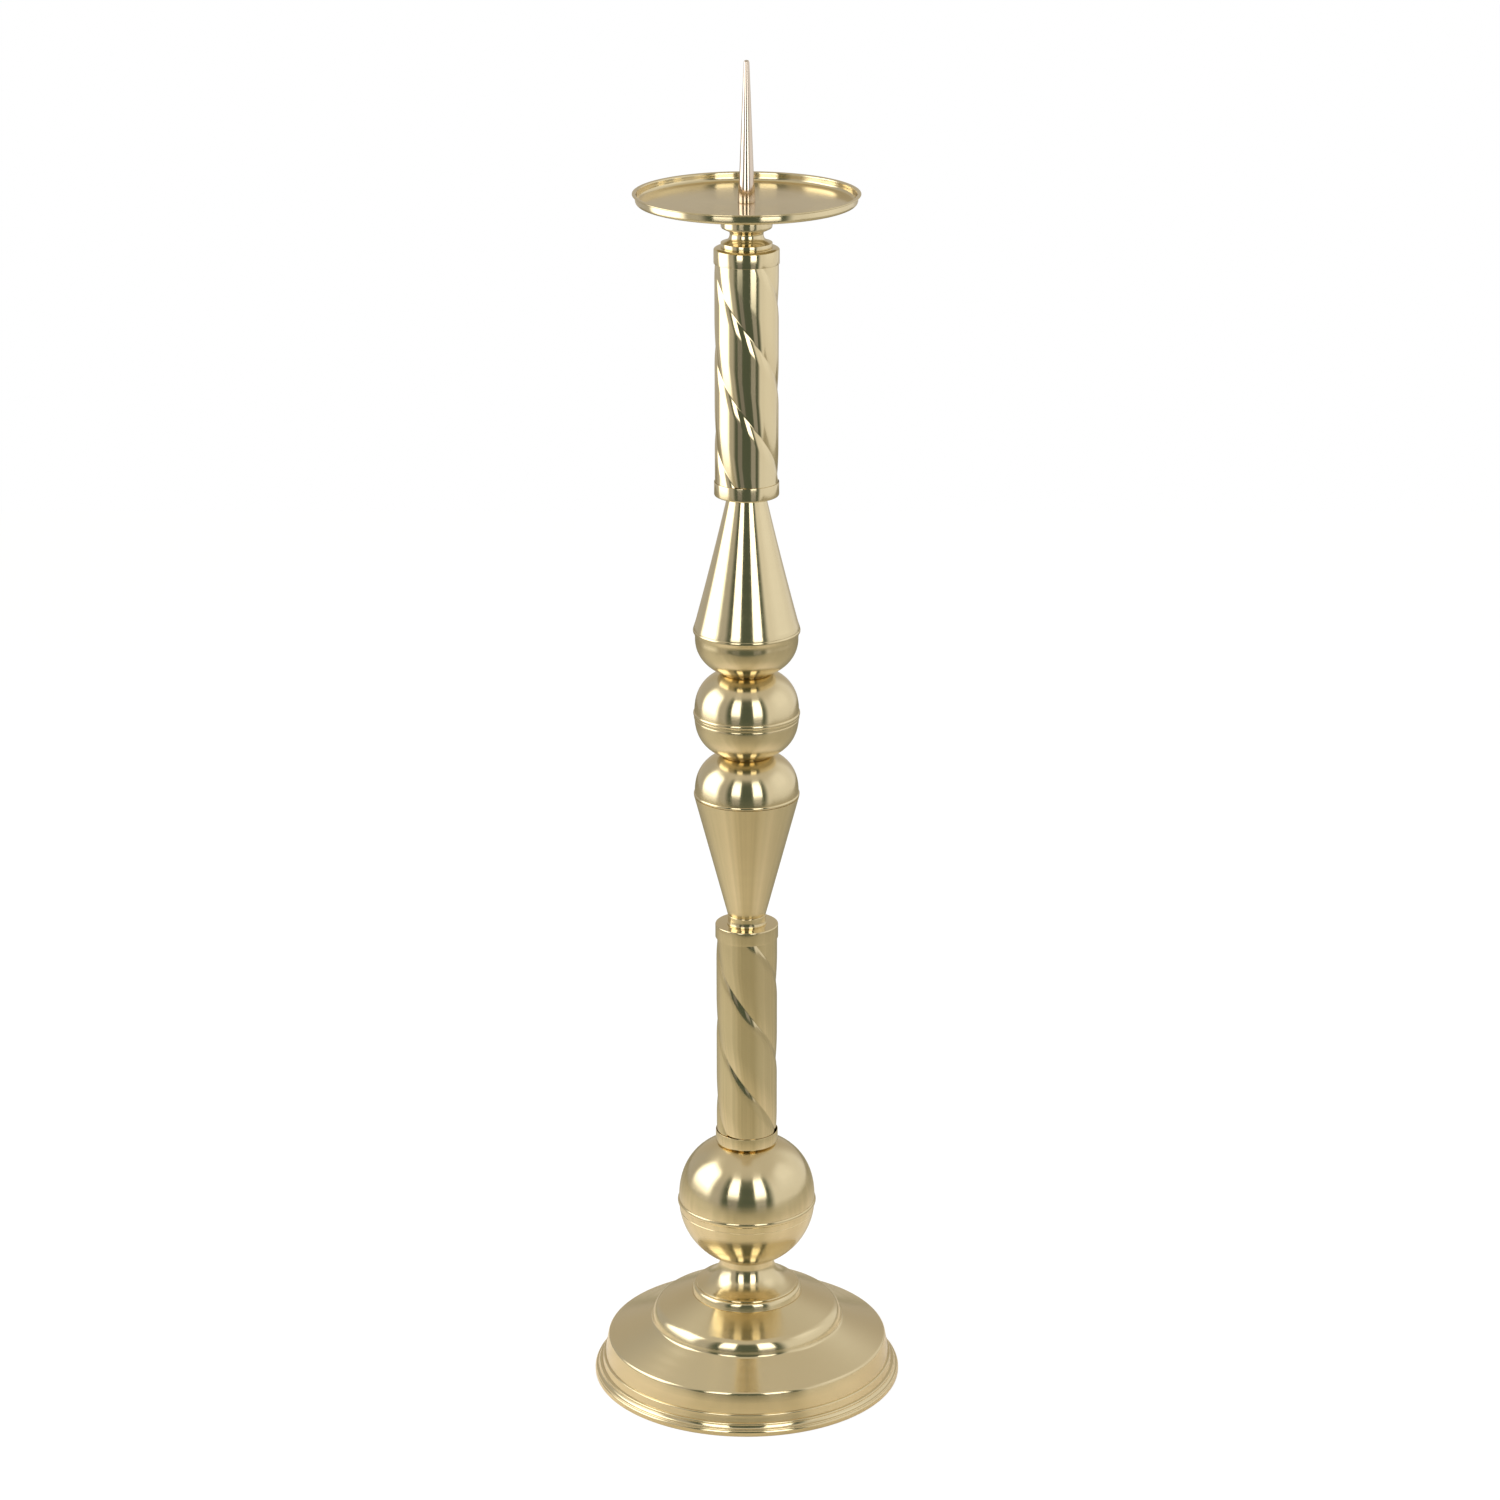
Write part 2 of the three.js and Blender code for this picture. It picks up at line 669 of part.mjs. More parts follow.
function spike() {
  washer('spike_washer', spikeFootRadius, threadHole, spikeWasherHeight, steel(), panLevel);
  const flareTop = spikeFootHeight + spikeFlareHeight;
  const drawIn = spikeFootRadius - spikeShaftRadius;
  const profile = [
    [0, -studLength],
    [rodRadius, -studLength],
    [rodRadius, 0],
    [spikeFootRadius, 0],
    [spikeFootRadius, spikeFootHeight],
    [spikeFootRadius - drawIn * facetWidth, spikeFootHeight + spikeFlareHeight * facetHeight],
    [spikeShaftRadius, flareTop],
    [spikeTipRadius, spikeHeight - spikePoint],
    [spikeTipRadius * 0.6, spikeHeight - spikePoint * 0.25],
    [0, spikeHeight],
  ];
  turned('spike', profile, smallSides, spikeBrass(), spikeLevel);
}

baseShell();
baseNeck();
tieRod(baseFixings(ballast()));
largeBall();
tubes();
coneCollar();
lowerConeAndDome();
washer('lower_ball_washer', ballWasherRadius, rodHole, ballWasherHeight, brass(), lowerWasherLevel);
middleBall();
washer('upper_ball_washer', ballWasherRadius, rodHole, ballWasherHeight, brass(), upperWasherLevel);
bowlAndUpperCone();
spool();
panSeat();
dripPan();
spike();

export default candlestick;
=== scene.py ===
"""Paschal candlestick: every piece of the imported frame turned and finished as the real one."""
import json
import logging
import math
from collections.abc import Callable, Sequence
from dataclasses import dataclass, replace
from enum import Enum, IntEnum

import bmesh
import bpy
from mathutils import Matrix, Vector


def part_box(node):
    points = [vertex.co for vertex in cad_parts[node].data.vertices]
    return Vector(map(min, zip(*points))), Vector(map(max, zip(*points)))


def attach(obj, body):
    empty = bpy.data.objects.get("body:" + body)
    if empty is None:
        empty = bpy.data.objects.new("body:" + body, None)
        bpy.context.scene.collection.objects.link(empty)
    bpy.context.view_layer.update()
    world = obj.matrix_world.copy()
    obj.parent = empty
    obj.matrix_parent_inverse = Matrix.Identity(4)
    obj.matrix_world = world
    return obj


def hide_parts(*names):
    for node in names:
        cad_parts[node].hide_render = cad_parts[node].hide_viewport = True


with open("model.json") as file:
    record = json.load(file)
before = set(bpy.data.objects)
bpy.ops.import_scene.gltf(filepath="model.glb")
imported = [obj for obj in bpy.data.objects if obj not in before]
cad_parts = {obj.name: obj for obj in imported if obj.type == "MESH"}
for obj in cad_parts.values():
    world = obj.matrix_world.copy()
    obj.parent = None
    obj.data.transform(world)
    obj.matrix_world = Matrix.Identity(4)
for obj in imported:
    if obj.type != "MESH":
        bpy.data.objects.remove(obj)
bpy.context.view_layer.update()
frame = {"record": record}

MM = 0.001
# In metres: nearer points are made one, and a point this near a plane lies on it.
WELD = 1e-6
ON_PLANE = 1e-5
SMOOTH_ANGLE = math.radians(32)
FULL_TURN = 2 * math.pi

# Share of a sheet's thickness that its inner points keep from the outer line at least.
KEPT_WALL = 0.97
# Depth of a thread in pitches, and its corners: share of the pitch, share of the depth.
THREAD_DEPTH = 0.6
THREAD_FORM = ((0.1, 0.0), (0.45, 1.0), (0.6, 1.0), (0.95, 0.0))

# How far the noise of clouds and cast skin is refined, and the edges of two masks.
CLOUD_DETAIL = 3.0
CAST_DETAIL = 5.0
CLOUD_EDGES = (0.35, 0.7)
STREAK_EDGES = (0.3, 0.7)
# How fast upright lines change with height, next to their change round the axis.
UPRIGHT_WANDER = 0.7
WHITE = (1.0, 1.0, 1.0)
# Where the Mix node keeps the sockets for colours: it has others for numbers and vectors.
MIX_COLOURS = slice(6, 8)
MIX_RESULT = 2

Point = tuple[float, float]
Corner = tuple[float, ...]
Tint = tuple[float, float, float]
Piece = bpy.types.Object
Socket = bpy.types.NodeSocket

log = logging.getLogger("candlestick")


class Slot(Enum):
    """Material slots of the record."""

    BRASS = "brass"
    SPIKE_BRASS = "spike_brass"
    STEEL = "steel"
    IRON = "iron"


class Grain(Enum):
    """How the surface of a metal was left."""

    TURNED = "turned on the lathe"
    DRAWN = "drawn through a die"
    CAST = "rough from the mould"


class Faces(IntEnum):
    """Number of faces round a piece."""

    WIDE = 192
    STEM = 128
    SMALL = 96
    SPLIT = 90
    SPIKE = 64
    ROD = 48


def plain(corner: Corner) -> Point:
    """The radius and height of a corner, without its rounding."""
    return corner[0], corner[1]


def rounded(corners: Sequence[Corner], steps: int = 5) -> list[Point]:
    """Round the corners of an open line.

    Args:
        corners: Radius, height and, where a corner is rounded, its rounding.
        steps: Number of chords in a rounded corner.

    Returns:
        The points of the line.
    """
    points = [plain(corners[0])]
    for before, corner, after in zip(corners, corners[1:], corners[2:]):
        if len(corner) < 3:
            points.append(plain(corner))
            continue
        here = Vector(plain(corner))
        back = (Vector(plain(before)) - here).normalized()
        ahead = (Vector(plain(after)) - here).normalized()
        half = back.angle(ahead) / 2
        reach = corner[2] / math.tan(half)
        centre = here + (back + ahead).normalized() * corner[2] / math.sin(half)
        start = here + back * reach - centre
        end = here + ahead * reach - centre
        sweep = math.atan2(start.x * end.y - start.y * end.x, start.dot(end))
        for step in range(steps + 1):
            turn = sweep * step / steps
            spoke = (
                start.x * math.cos(turn) - start.y * math.sin(turn),
                start.x * math.sin(turn) + start.y * math.cos(turn),
            )
            points.append((centre.x + spoke[0], centre.y + spoke[1]))
    points.append(plain(corners[-1]))
    return points


def flowing(points: Sequence[Point], steps: int = 4) -> list[Point]:
    """Draw a smooth curve through points.

    Args:
        points: Points that the curve passes through.
        steps: Number of chords between two neighbours.

    Returns:
        The points of the curve.
    """
    ends = [points[0], *points, points[-1]]
    curve = []
    for a, b, c, d in zip(ends, ends[1:], ends[2:], ends[3:]):
        for step in range(steps):
            t = step / steps
            curve.append(
                tuple(
                    (
                        2 * q
                        + (r - p) * t
                        + (2 * p - 5 * q + 4 * r - s) * t * t
                        + (3 * q - p - 3 * r + s) * t**3
                    )
                    / 2
                    for p, q, r, s in zip(a, b, c, d)
                )
            )
    return [*curve, points[-1]]


def squared_round(
    radius: float, rise: float, power: float, first: float, last: float, steps: int = 36
) -> list[Point]:
    """Draw part of a slightly squared-off round about its widest level.

    Args:
        radius: Radius at the widest level.
        rise: Height at which the full round would close on the axis.
        power: 2 is a true ellipse, and more is squarer.
        first: Height at which the line starts, below zero if under the widest level.
        last: Height at which it ends.
        steps: Number of chords.

    Returns:
        The points of the line, by rising height.
    """

    def angle_at(height: float) -> float:
        """The running angle of a height."""
        return math.copysign(math.asin(abs(height / rise) ** (power / 2)), height)

    start, end = angle_at(first), angle_at(last)
    points = []
    for step in range(steps + 1):
        angle = start + (end - start) * step / steps
        up = math.copysign(abs(math.sin(angle)) ** (2 / power), angle)
        points.append((radius * math.cos(angle) ** (2 / power), rise * up))
    return points


def half_round(
    radius: float, foot: float, height: float, standout: float, steps: int = 8
) -> list[Point]:
    """Draw a rolled bead on an upright wall.

    Args:
        radius: Radius of the wall.
        foot: Level of the bead's underside.
        height: Height of the bead.
        standout: How far it stands out.
        steps: Number of chords.

    Returns:
        The points of the bead, from its foot up.
    """
    return [
        (
            radius + standout * math.sin(math.pi * step / steps),
            foot + height * (1 - math.cos(math.pi * step / steps)) / 2,
        )
        for step in range(steps + 1)
    ]


def lifted(points: Sequence[Point], height: float) -> list[Point]:
    """The same points, moved up."""
    return [(radius, level + height) for radius, level in points]


def distance_to(point: Point, line: Sequence[Point]) -> float:
    """Measure how near a point comes to a line.

    Args:
        point: The point.
        line: Points of the line.

    Returns:
        The shortest distance.
    """
    here = Vector(point)
    nearest = math.inf
    for a, b in zip(line, line[1:]):
        start, along = Vector(a), Vector(b) - Vector(a)
        if along.length_squared == 0:
            continue
        share = min(max((here - start).dot(along) / along.length_squared, 0), 1)
        nearest = min(nearest, (start + along * share - here).length)
    return nearest


def inside_of(line: Sequence[Point], sheet: float) -> list[Point]:
    """Find the inner face of a sheet from its outer line.

    Args:
        line: Outer line, with the metal on its left.
        sheet: Thickness of the sheet.

    Returns:
        The points of the inner face, in the same order.
    """
    steps = [(Vector(b) - Vector(a)).normalized() for a, b in zip(line, line[1:])]
    normals = [Vector((-along.y, along.x)) for along in steps]
    wall = []
    for index, point in enumerate(line):
        shift = normals[max(index - 1, 0)] + normals[min(index, len(normals) - 1)]
        shift *= 2 * sheet / shift.length_squared
        moved = (point[0] + shift.x, point[1] + shift.y)
        if distance_to(moved, line) > sheet * KEPT_WALL:
            wall.append(moved)
    return wall


def threaded(radius: float, foot: float, head: float, pitch: float = 1.5) -> list[Point]:
    """Draw the crests and roots of a thread.

    Args:
        radius: Radius of the crests.
        foot: Level where the thread starts.
        head: Level where it ends.
        pitch: Height of one turn.

    Returns:
        The points, by rising height.
    """
    depth = THREAD_DEPTH * pitch
    return [
        (radius - depth * (1 - reach), foot + turn * pitch + share * pitch)
        for turn in range(int((head - foot) / pitch))
        for share, reach in THREAD_FORM
    ]


def alone() -> None:
    """Leave nothing selected, so that a tool acts on the next piece only."""
    if bpy.context.mode != "OBJECT":
        bpy.ops.object.mode_set(mode="OBJECT")
    bpy.ops.object.select_all(action="DESELECT")


def select_vertices(chosen: Callable[[Vector], bool]) -> None:
    """Select the vertices of the mesh in edit mode by their place.

    Args:
        chosen: Tells of a vertex's place whether it is wanted.
    """
    mesh = bmesh.from_edit_mesh(bpy.context.edit_object.data)
    for vertex in mesh.verts:
        vertex.select = chosen(vertex.co)
    mesh.select_flush_mode()
    bmesh.update_edit_mesh(bpy.context.edit_object.data)


def settle(name: str) -> Piece:
    """Finish the active piece: place in its mesh, smooth faces, sharp edges.

    Args:
        name: Name of the piece.

    Returns:
        The piece.
    """
    if bpy.context.mode != "OBJECT":
        bpy.ops.object.mode_set(mode="OBJECT")
    piece = bpy.context.object
    bpy.ops.object.transform_apply(location=True, rotation=True, scale=True)
    bpy.ops.object.shade_smooth_by_angle(angle=SMOOTH_ANGLE)
    piece.name = name
    piece.data.name = name
    return piece


def apply_modifiers() -> None:
    """Apply the modifiers of the active piece in their order."""
    for modifier in list(bpy.context.object.modifiers):
        bpy.ops.object.modifier_apply(modifier=modifier.name)


def turn(
    name: str,
    outline: Sequence[Point],
    level: float,
    faces: int = Faces.STEM,
    sweep: float = FULL_TURN,
    start: float = 0.0,
) -> Piece:
    """Turn a piece from its outline, as on a lathe.

    Args:
        name: Name of the piece.
        outline: Radius and height of each point, in millimetres. It closes on itself
            unless both its ends are on the axis.
        level: Height of the outline's zero, in metres.
        faces: Number of faces round the piece.
        sweep: Angle that the outline is carried round.
        start: Angle at which it starts, from the +X side.

    Returns:
        The piece.
    """
    line = [point for i, point in enumerate(outline) if i == 0 or point != outline[i - 1]]
    if line[0][0] > 0 or line[-1][0] > 0:
        line.append(line[0])
    alone()
    bpy.ops.mesh.primitive_plane_add(size=MM, location=(0, 0, 0))
    bpy.ops.object.mode_set(mode="EDIT")
    bpy.ops.mesh.select_mode(type="VERT")
    bpy.ops.mesh.select_all(action="SELECT")
    bpy.ops.mesh.merge(type="CENTER")
    place = Vector((line[0][0] * MM, 0, level + line[0][1] * MM))
    bpy.ops.transform.translate(value=place)
    for radius, height in line[1:]:
        target = Vector((radius * MM, 0, level + height * MM))
        bpy.ops.mesh.extrude_vertices_move(TRANSFORM_OT_translate={"value": target - place})
        place = target
    bpy.ops.mesh.select_all(action="SELECT")
    bpy.ops.mesh.remove_doubles(threshold=WELD)
    if start:
        bpy.ops.transform.rotate(value=-start, orient_axis="Z", center_override=(0, 0, 0))
    bpy.ops.mesh.spin(steps=faces, angle=sweep, center=(0, 0, 0), axis=(0, 0, 1))
    bpy.ops.mesh.select_all(action="SELECT")
    bpy.ops.mesh.remove_doubles(threshold=WELD)
    if sweep < FULL_TURN:
        for end in (0.0, sweep):
            close_end(start + end)
    bpy.ops.mesh.select_all(action="SELECT")
    bpy.ops.mesh.normals_make_consistent(inside=False)
    return settle(name)


def close_end(angle: float) -> None:
    """Close the open end of a part-turned piece with a face.

    Args:
        angle: Angle of the end from the +X side.
    """
    across = Vector((-math.sin(angle), math.cos(angle), 0))
    along = Vector((math.cos(angle), math.sin(angle), 0))
    select_vertices(lambda place: abs(place.dot(across)) < ON_PLANE and place.dot(along) > 0)
    bpy.ops.mesh.edge_face_add()


class NodeBench:
    """A node tree with short calls to place and join nodes."""

    def __init__(self, tree: bpy.types.NodeTree) -> None:
        """Take up a tree.

        Args:
            tree: The node tree to build in.
        """
        self.tree = tree

    def add(self, kind: str, *feeds: object, **settings: object) -> bpy.types.Node:
        """Place a node.

        Args:
            kind: Type of the node, without its ShaderNode prefix.
            feeds: Values or outputs for its inputs in order; None leaves one as it is.
            settings: Attributes of the node.

        Returns:
            The node.
        """
        node = self.tree.nodes.new(f"ShaderNode{kind}")
        for name, value in settings.items():
            setattr(node, name, value)
        for socket, feed in zip(node.inputs, feeds):
            self.feed(socket, feed)
        return node

    def feed(self, socket: Socket, feed: object) -> None:
        """Give an input a value, or the output that drives it.

        Args:
            socket: The input.
            feed: A value, a node output, or None to leave it.
        """
        if isinstance(feed, Socket):
            self.tree.links.new(feed, socket)
        elif feed is not None:
            socket.default_value = feed

    def math(self, operation: str, *feeds: object) -> Socket:
        """The result of a Math node."""
        return self.add("Math", *feeds, operation=operation).outputs[0]

    def ramp(
        self, value: object, low: float, high: float, start: float = 0, end: float = 1
    ) -> Socket:
        """Spread a value smoothly between two levels.

        Args:
            value: The value or output to read.
            low: Value at which the result is start.
            high: Value at which the result is end.
            start: Result at low.
            end: Result at high.

        Returns:
            The output of the node.
        """
        node = self.add("MapRange", value, low, high, start, end)
        node.interpolation_type = "SMOOTHSTEP"
        return node.outputs[0]

    def noise(self, place: Socket, scale: object, detail: float) -> Socket:
        """Draw soft noise.

        Args:
            place: The output with the place.
            scale: Number of its cells in a unit, or the output that gives it.
            detail: How often finer noise is added.

        Returns:
            The output with the noise.
        """
        node = self.add("TexNoise")
        for name, value in (("Vector", place), ("Scale", scale), ("Detail", detail)):
            self.feed(node.inputs[name], value)
        return node.outputs["Fac"]

    def blend(self, share: object, first: Tint | Socket, second: Tint | Socket) -> Socket:
        """Mix two colours.

        Args:
            share: How much of the second shows, or the output that gives it.
            first: A colour or the output of one.
            second: A colour or the output of one.

        Returns:
            The mixed colour's output.
        """
        mix = self.add("Mix", data_type="RGBA")
        self.feed(mix.inputs["Factor"], share)
        for socket, colour in zip(mix.inputs[MIX_COLOURS], (first, second)):
            self.feed(socket, (*colour, 1.0) if isinstance(colour, tuple) else colour)
        return mix.outputs[MIX_RESULT]


def new_group(name: str, inputs: dict[str, tuple], outputs: dict[str, str]) -> bpy.types.NodeTree:
    """Start a node group.

    Args:
        name: Name of the group.
        inputs: Type and first value of each input; None leaves the value as it is.
        outputs: Type of each output.

    Returns:
        The group's tree, with its input and output nodes.
    """
    tree = bpy.data.node_groups.new(name, "ShaderNodeTree")
    for label, (kind, value) in inputs.items():
        socket = tree.interface.new_socket(label, in_out="INPUT", socket_type=kind)
        if value is not None:
            socket.default_value = value
    for label, kind in outputs.items():
        tree.interface.new_socket(label, in_out="OUTPUT", socket_type=kind)
    tree.nodes.new("NodeGroupInput")
    tree.nodes.new("NodeGroupOutput")
    return tree


def on_rings(bench: NodeBench, place: Socket) -> Socket:
    """Find on which ring round the axis a place lies.

    Args:
        bench: The tree to work in.
        place: The output with the place.

    Returns:
        The output with the radius and the height.
    """
    parts = bench.add("SeparateXYZ", place).outputs
    flat = bench.add("CombineXYZ", parts["X"], parts["Y"], 0.0).outputs[0]
    radius = bench.add("VectorMath", flat, operation="LENGTH").outputs["Value"]
    return bench.add("CombineXYZ", radius, 0.0, parts["Z"]).outputs[0]


def on_uprights(bench: NodeBench, place: Socket) -> Socket:
    """Find on which upright line round the axis a place lies.

    Args:
        bench: The tree to work in.
        place: The output with the place.

    Returns:
        The output with the bearing, and little of the height.
    """
    parts = bench.add("SeparateXYZ", place).outputs
    flat = bench.add("CombineXYZ", parts["X"], parts["Y"], 0.0).outputs[0]
    bearing = bench.add("VectorMath", flat, operation="NORMALIZE").outputs[0]
    sides = bench.add("SeparateXYZ", bearing).outputs
    slow = bench.math("MULTIPLY", parts["Z"], UPRIGHT_WANDER)
    return bench.add("CombineXYZ", sides["X"], sides["Y"], slow).outputs[0]


@dataclass(frozen=True)
class LinePattern:
    """Fine lines over wider ones, as a tool leaves them on a metal.

    The wide lines take a share of the number of the fine ones, and a share of the height.
    """

    name: str
    lines: float
    fine_detail: float
    wide_scale: float
    wide_detail: float
    wide_height: float

    def group(self, across: Callable[[NodeBench, Socket], Socket]) -> bpy.types.NodeTree:
        """Build the node group.

        Args:
            across: Finds on which line a place lies.

        Returns:
            A group that gives the height of the lines and the streaks of the polish.
        """
        tree = new_group(
            self.name,
            {"Place": ("NodeSocketVector", None), "Lines": ("NodeSocketFloat", self.lines)},
            {"Height": "NodeSocketFloat", "Streaks": "NodeSocketFloat"},
        )
        bench = NodeBench(tree)
        given, result = tree.nodes["Group Input"].outputs, tree.nodes["Group Output"].inputs
        place = across(bench, given["Place"])
        fine = bench.noise(place, given["Lines"], self.fine_detail)
        scale = bench.math("MULTIPLY", given["Lines"], self.wide_scale)
        wide = bench.noise(place, scale, self.wide_detail)
        height = bench.math("ADD", fine, bench.math("MULTIPLY", wide, self.wide_height))
        bench.feed(result["Height"], height)
        bench.feed(result["Streaks"], wide)
        return tree


TURNING_LINES = LinePattern(
    name="turning_lines",
    lines=700.0,
    fine_detail=3.0,
    wide_scale=0.2,
    wide_detail=2.0,
    wide_height=0.8,
)
DRAWN_LINES = LinePattern(
    name="drawn_lines",
    lines=13.6,
    fine_detail=2.0,
    wide_scale=0.3,
    wide_detail=1.0,
    wide_height=1.5,
)


def soft_clouds() -> bpy.types.NodeTree:
    """Build the slow drift of tone that handling and lacquer give a metal.

    Returns:
        A group that gives a tinted colour.
    """
    tree = new_group(
        "soft_clouds",
        {
            "Place": ("NodeSocketVector", None),
            "Colour": ("NodeSocketColor", None),
            "Shade": ("NodeSocketColor", None),
            "Clouds per metre": ("NodeSocketFloat", 9.0),
        },
        {"Colour": "NodeSocketColor", "Cloud": "NodeSocketFloat"},
    )
    bench = NodeBench(tree)
    given, result = tree.nodes["Group Input"].outputs, tree.nodes["Group Output"].inputs
    cloud = bench.noise(given["Place"], given["Clouds per metre"], CLOUD_DETAIL)
    mask = bench.ramp(cloud, *CLOUD_EDGES)
    bench.feed(result["Colour"], bench.blend(mask, given["Colour"], given["Shade"]))
    bench.feed(result["Cloud"], mask)
    return tree


class EffectShelf:
    """The node groups that the finishes share, each built once."""

    def __init__(self) -> None:
        """Build the groups."""
        self.lines = {
            Grain.TURNED: TURNING_LINES.group(on_rings),
            Grain.DRAWN: DRAWN_LINES.group(on_uprights),
        }
        self.clouds = soft_clouds()


@dataclass(frozen=True)
class MetalFinish:
    """One metal with its polish, tone and surface lines.

    Its lines are counted per metre, but on a drawn metal per radian round the axis.
    The depth of the lines is in millimetres.
    """

    name: str
    slot: Slot
    colour: Tint
    shade: Tint
    roughness: float
    roughness_drift: float
    line_depth: float
    lines: float = 700.0
    brushing: float = 0.0
    brushing_turn: float = 0.25
    lacquer: float = 0.0
    lacquer_roughness: float = 0.08
    metal: float = 1.0
    grain: Grain = Grain.TURNED

    def material(self, shelf: EffectShelf) -> bpy.types.Material:
        """Build the material.

        Args:
            shelf: The shared node groups.

        Returns:
            The material.
        """
        material = bpy.data.materials.new(self.name)
        material.use_nodes = True
        bench = NodeBench(material.node_tree)
        sockets = material.node_tree.nodes["Principled BSDF"].inputs
        place = bench.add("TexCoord").outputs["Object"]

        clouds = bench.add("Group", node_tree=shelf.clouds)
        bench.feed(clouds.inputs["Place"], place)
        clouds.inputs["Colour"].default_value = (*self.colour, 1.0)
        clouds.inputs["Shade"].default_value = (*self.shade, 1.0)
        bench.feed(sockets["Base Color"], clouds.outputs["Colour"])

        if self.grain in shelf.lines:
            lines = bench.add("Group", node_tree=shelf.lines[self.grain])
            bench.feed(lines.inputs["Place"], place)
            lines.inputs["Lines"].default_value = self.lines
            height, streaks = lines.outputs["Height"], lines.outputs["Streaks"]
        else:
            height = bench.noise(place, self.lines, CAST_DETAIL)
            streaks = clouds.outputs["Cloud"]
        low = self.roughness - self.roughness_drift
        high = self.roughness + self.roughness_drift
        bench.feed(sockets["Roughness"], bench.ramp(streaks, *STREAK_EDGES, low, high))

        bump = bench.add("Bump")
        bump.inputs["Strength"].default_value = 1.0
        bump.inputs["Distance"].default_value = self.line_depth * MM
        bench.feed(bump.inputs["Height"], height)
        bench.feed(sockets["Normal"], bump.outputs["Normal"])

        sockets["Metallic"].default_value = self.metal
        sockets["Coat Weight"].default_value = self.lacquer
        sockets["Coat Roughness"].default_value = self.lacquer_roughness
        if self.brushing:
            sockets["Anisotropic"].default_value = self.brushing
            sockets["Anisotropic Rotation"].default_value = self.brushing_turn
            tangent = bench.add("Tangent", direction_type="RADIAL", axis="Z")
            bench.feed(sockets["Tangent"], tangent.outputs[0])
        return material


BRASS = MetalFinish(
    name="polished_lacquered_brass",
    slot=Slot.BRASS,
    colour=(0.755, 0.64, 0.4),
    shade=(0.73, 0.61, 0.375),
    roughness=0.12,
    roughness_drift=0.02,
    line_depth=0.0012,
    brushing=0.6,
    lacquer=0.12,
)
SATIN_BRASS = replace(
    BRASS,
    name="satin_lacquered_brass",
    roughness=0.16,
    roughness_drift=0.025,
    brushing=0.9,
)
TUBE_BRASS = replace(
    BRASS,
    name="drawn_lacquered_brass",
    colour=(0.755, 0.645, 0.405),
    roughness=0.11,
    line_depth=0.0015,
    lines=13.6,
    brushing=0.0,
    grain=Grain.DRAWN,
)
SPIKE_BRASS = MetalFinish(
    name="pale_polished_brass",
    slot=Slot.SPIKE_BRASS,
    colour=(0.71, 0.61, 0.51),
    shade=(0.65, 0.54, 0.44),
    roughness=0.1,
    roughness_drift=0.02,
    line_depth=0.03,
    lines=3.2,
    grain=Grain.DRAWN,
)
ZINC = MetalFinish(
    name="zinc_plated_steel",
    slot=Slot.STEEL,
    colour=(0.5, 0.51, 0.52),
    shade=(0.42, 0.43, 0.42),
    roughness=0.34,
    roughness_drift=0.08,
    line_depth=0.01,
    lines=1200.0,
)
CAST_IRON = MetalFinish(
    name="dark_cast_iron",
    slot=Slot.IRON,
    colour=(0.055, 0.052, 0.05),
    shade=(0.035, 0.033, 0.032),
    roughness=0.72,
    roughness_drift=0.1,
    line_depth=0.25,
    lines=450.0,
    metal=0.6,
    grain=Grain.CAST,
)
FINISHES = (BRASS, SATIN_BRASS, TUBE_BRASS, SPIKE_BRASS, ZINC, CAST_IRON)


class Workshop:
    """Holds the finished materials and hands pieces over to the frame."""

    def __init__(self) -> None:
        """Build each finish once."""
        shelf = EffectShelf()
        self.materials = {finish.name: finish.material(shelf) for finish in FINISHES}
        self.body_of = {
            node: body
            for body, nodes in frame["record"]["behaviour"]["bodies"].items()
            for node in nodes
        }

    def level(self, node: str) -> float:
        """The level of a node's underside, in metres."""
        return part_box(node)[0].z

    def hand_over(self, piece: Piece, node: str, finish: MetalFinish) -> None:
        """Dress a piece and put it in its node's place.

        Args:
            piece: The finished piece.
            node: The CAD node that it stands for.
            finish: Its finish.
        """
        piece.data.materials.clear()
        piece.data.materials.append(self.materials[finish.name])
        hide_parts(node)
        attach(piece, self.body_of[node])
        log.info("%s stands for %s: %d faces", piece.name, node, len(piece.data.polygons))

    def turned(
        self, node: str, outline: Sequence[Point], finish: MetalFinish, faces: int = Faces.STEM
    ) -> None:
        """Turn a piece at its node's level and hand it over.

        Args:
            node: The CAD node that it stands for.
            outline: Closed outline, from the node's underside up.
            finish: Its finish.
            faces: Number of faces round it.
        """
        piece = turn(f"fine_{node}", outline, self.level(node), faces)
        self.hand_over(piece, node, finish)


def washer_outline(inner: float, outer: float, height: float, rounding: float) -> list[Point]:
    """Outline a flat washer with softened edges.

    Args:
        inner: Radius of its hole.
        outer: Its outer radius.
        height: Its thickness.
        rounding: Rounding of its outer edges.

    Returns:
        The closed outline.
    """
    return rounded(
        ((inner, 0.0), (outer, 0.0, rounding), (outer, height, rounding), (inner, height)), 3
    )


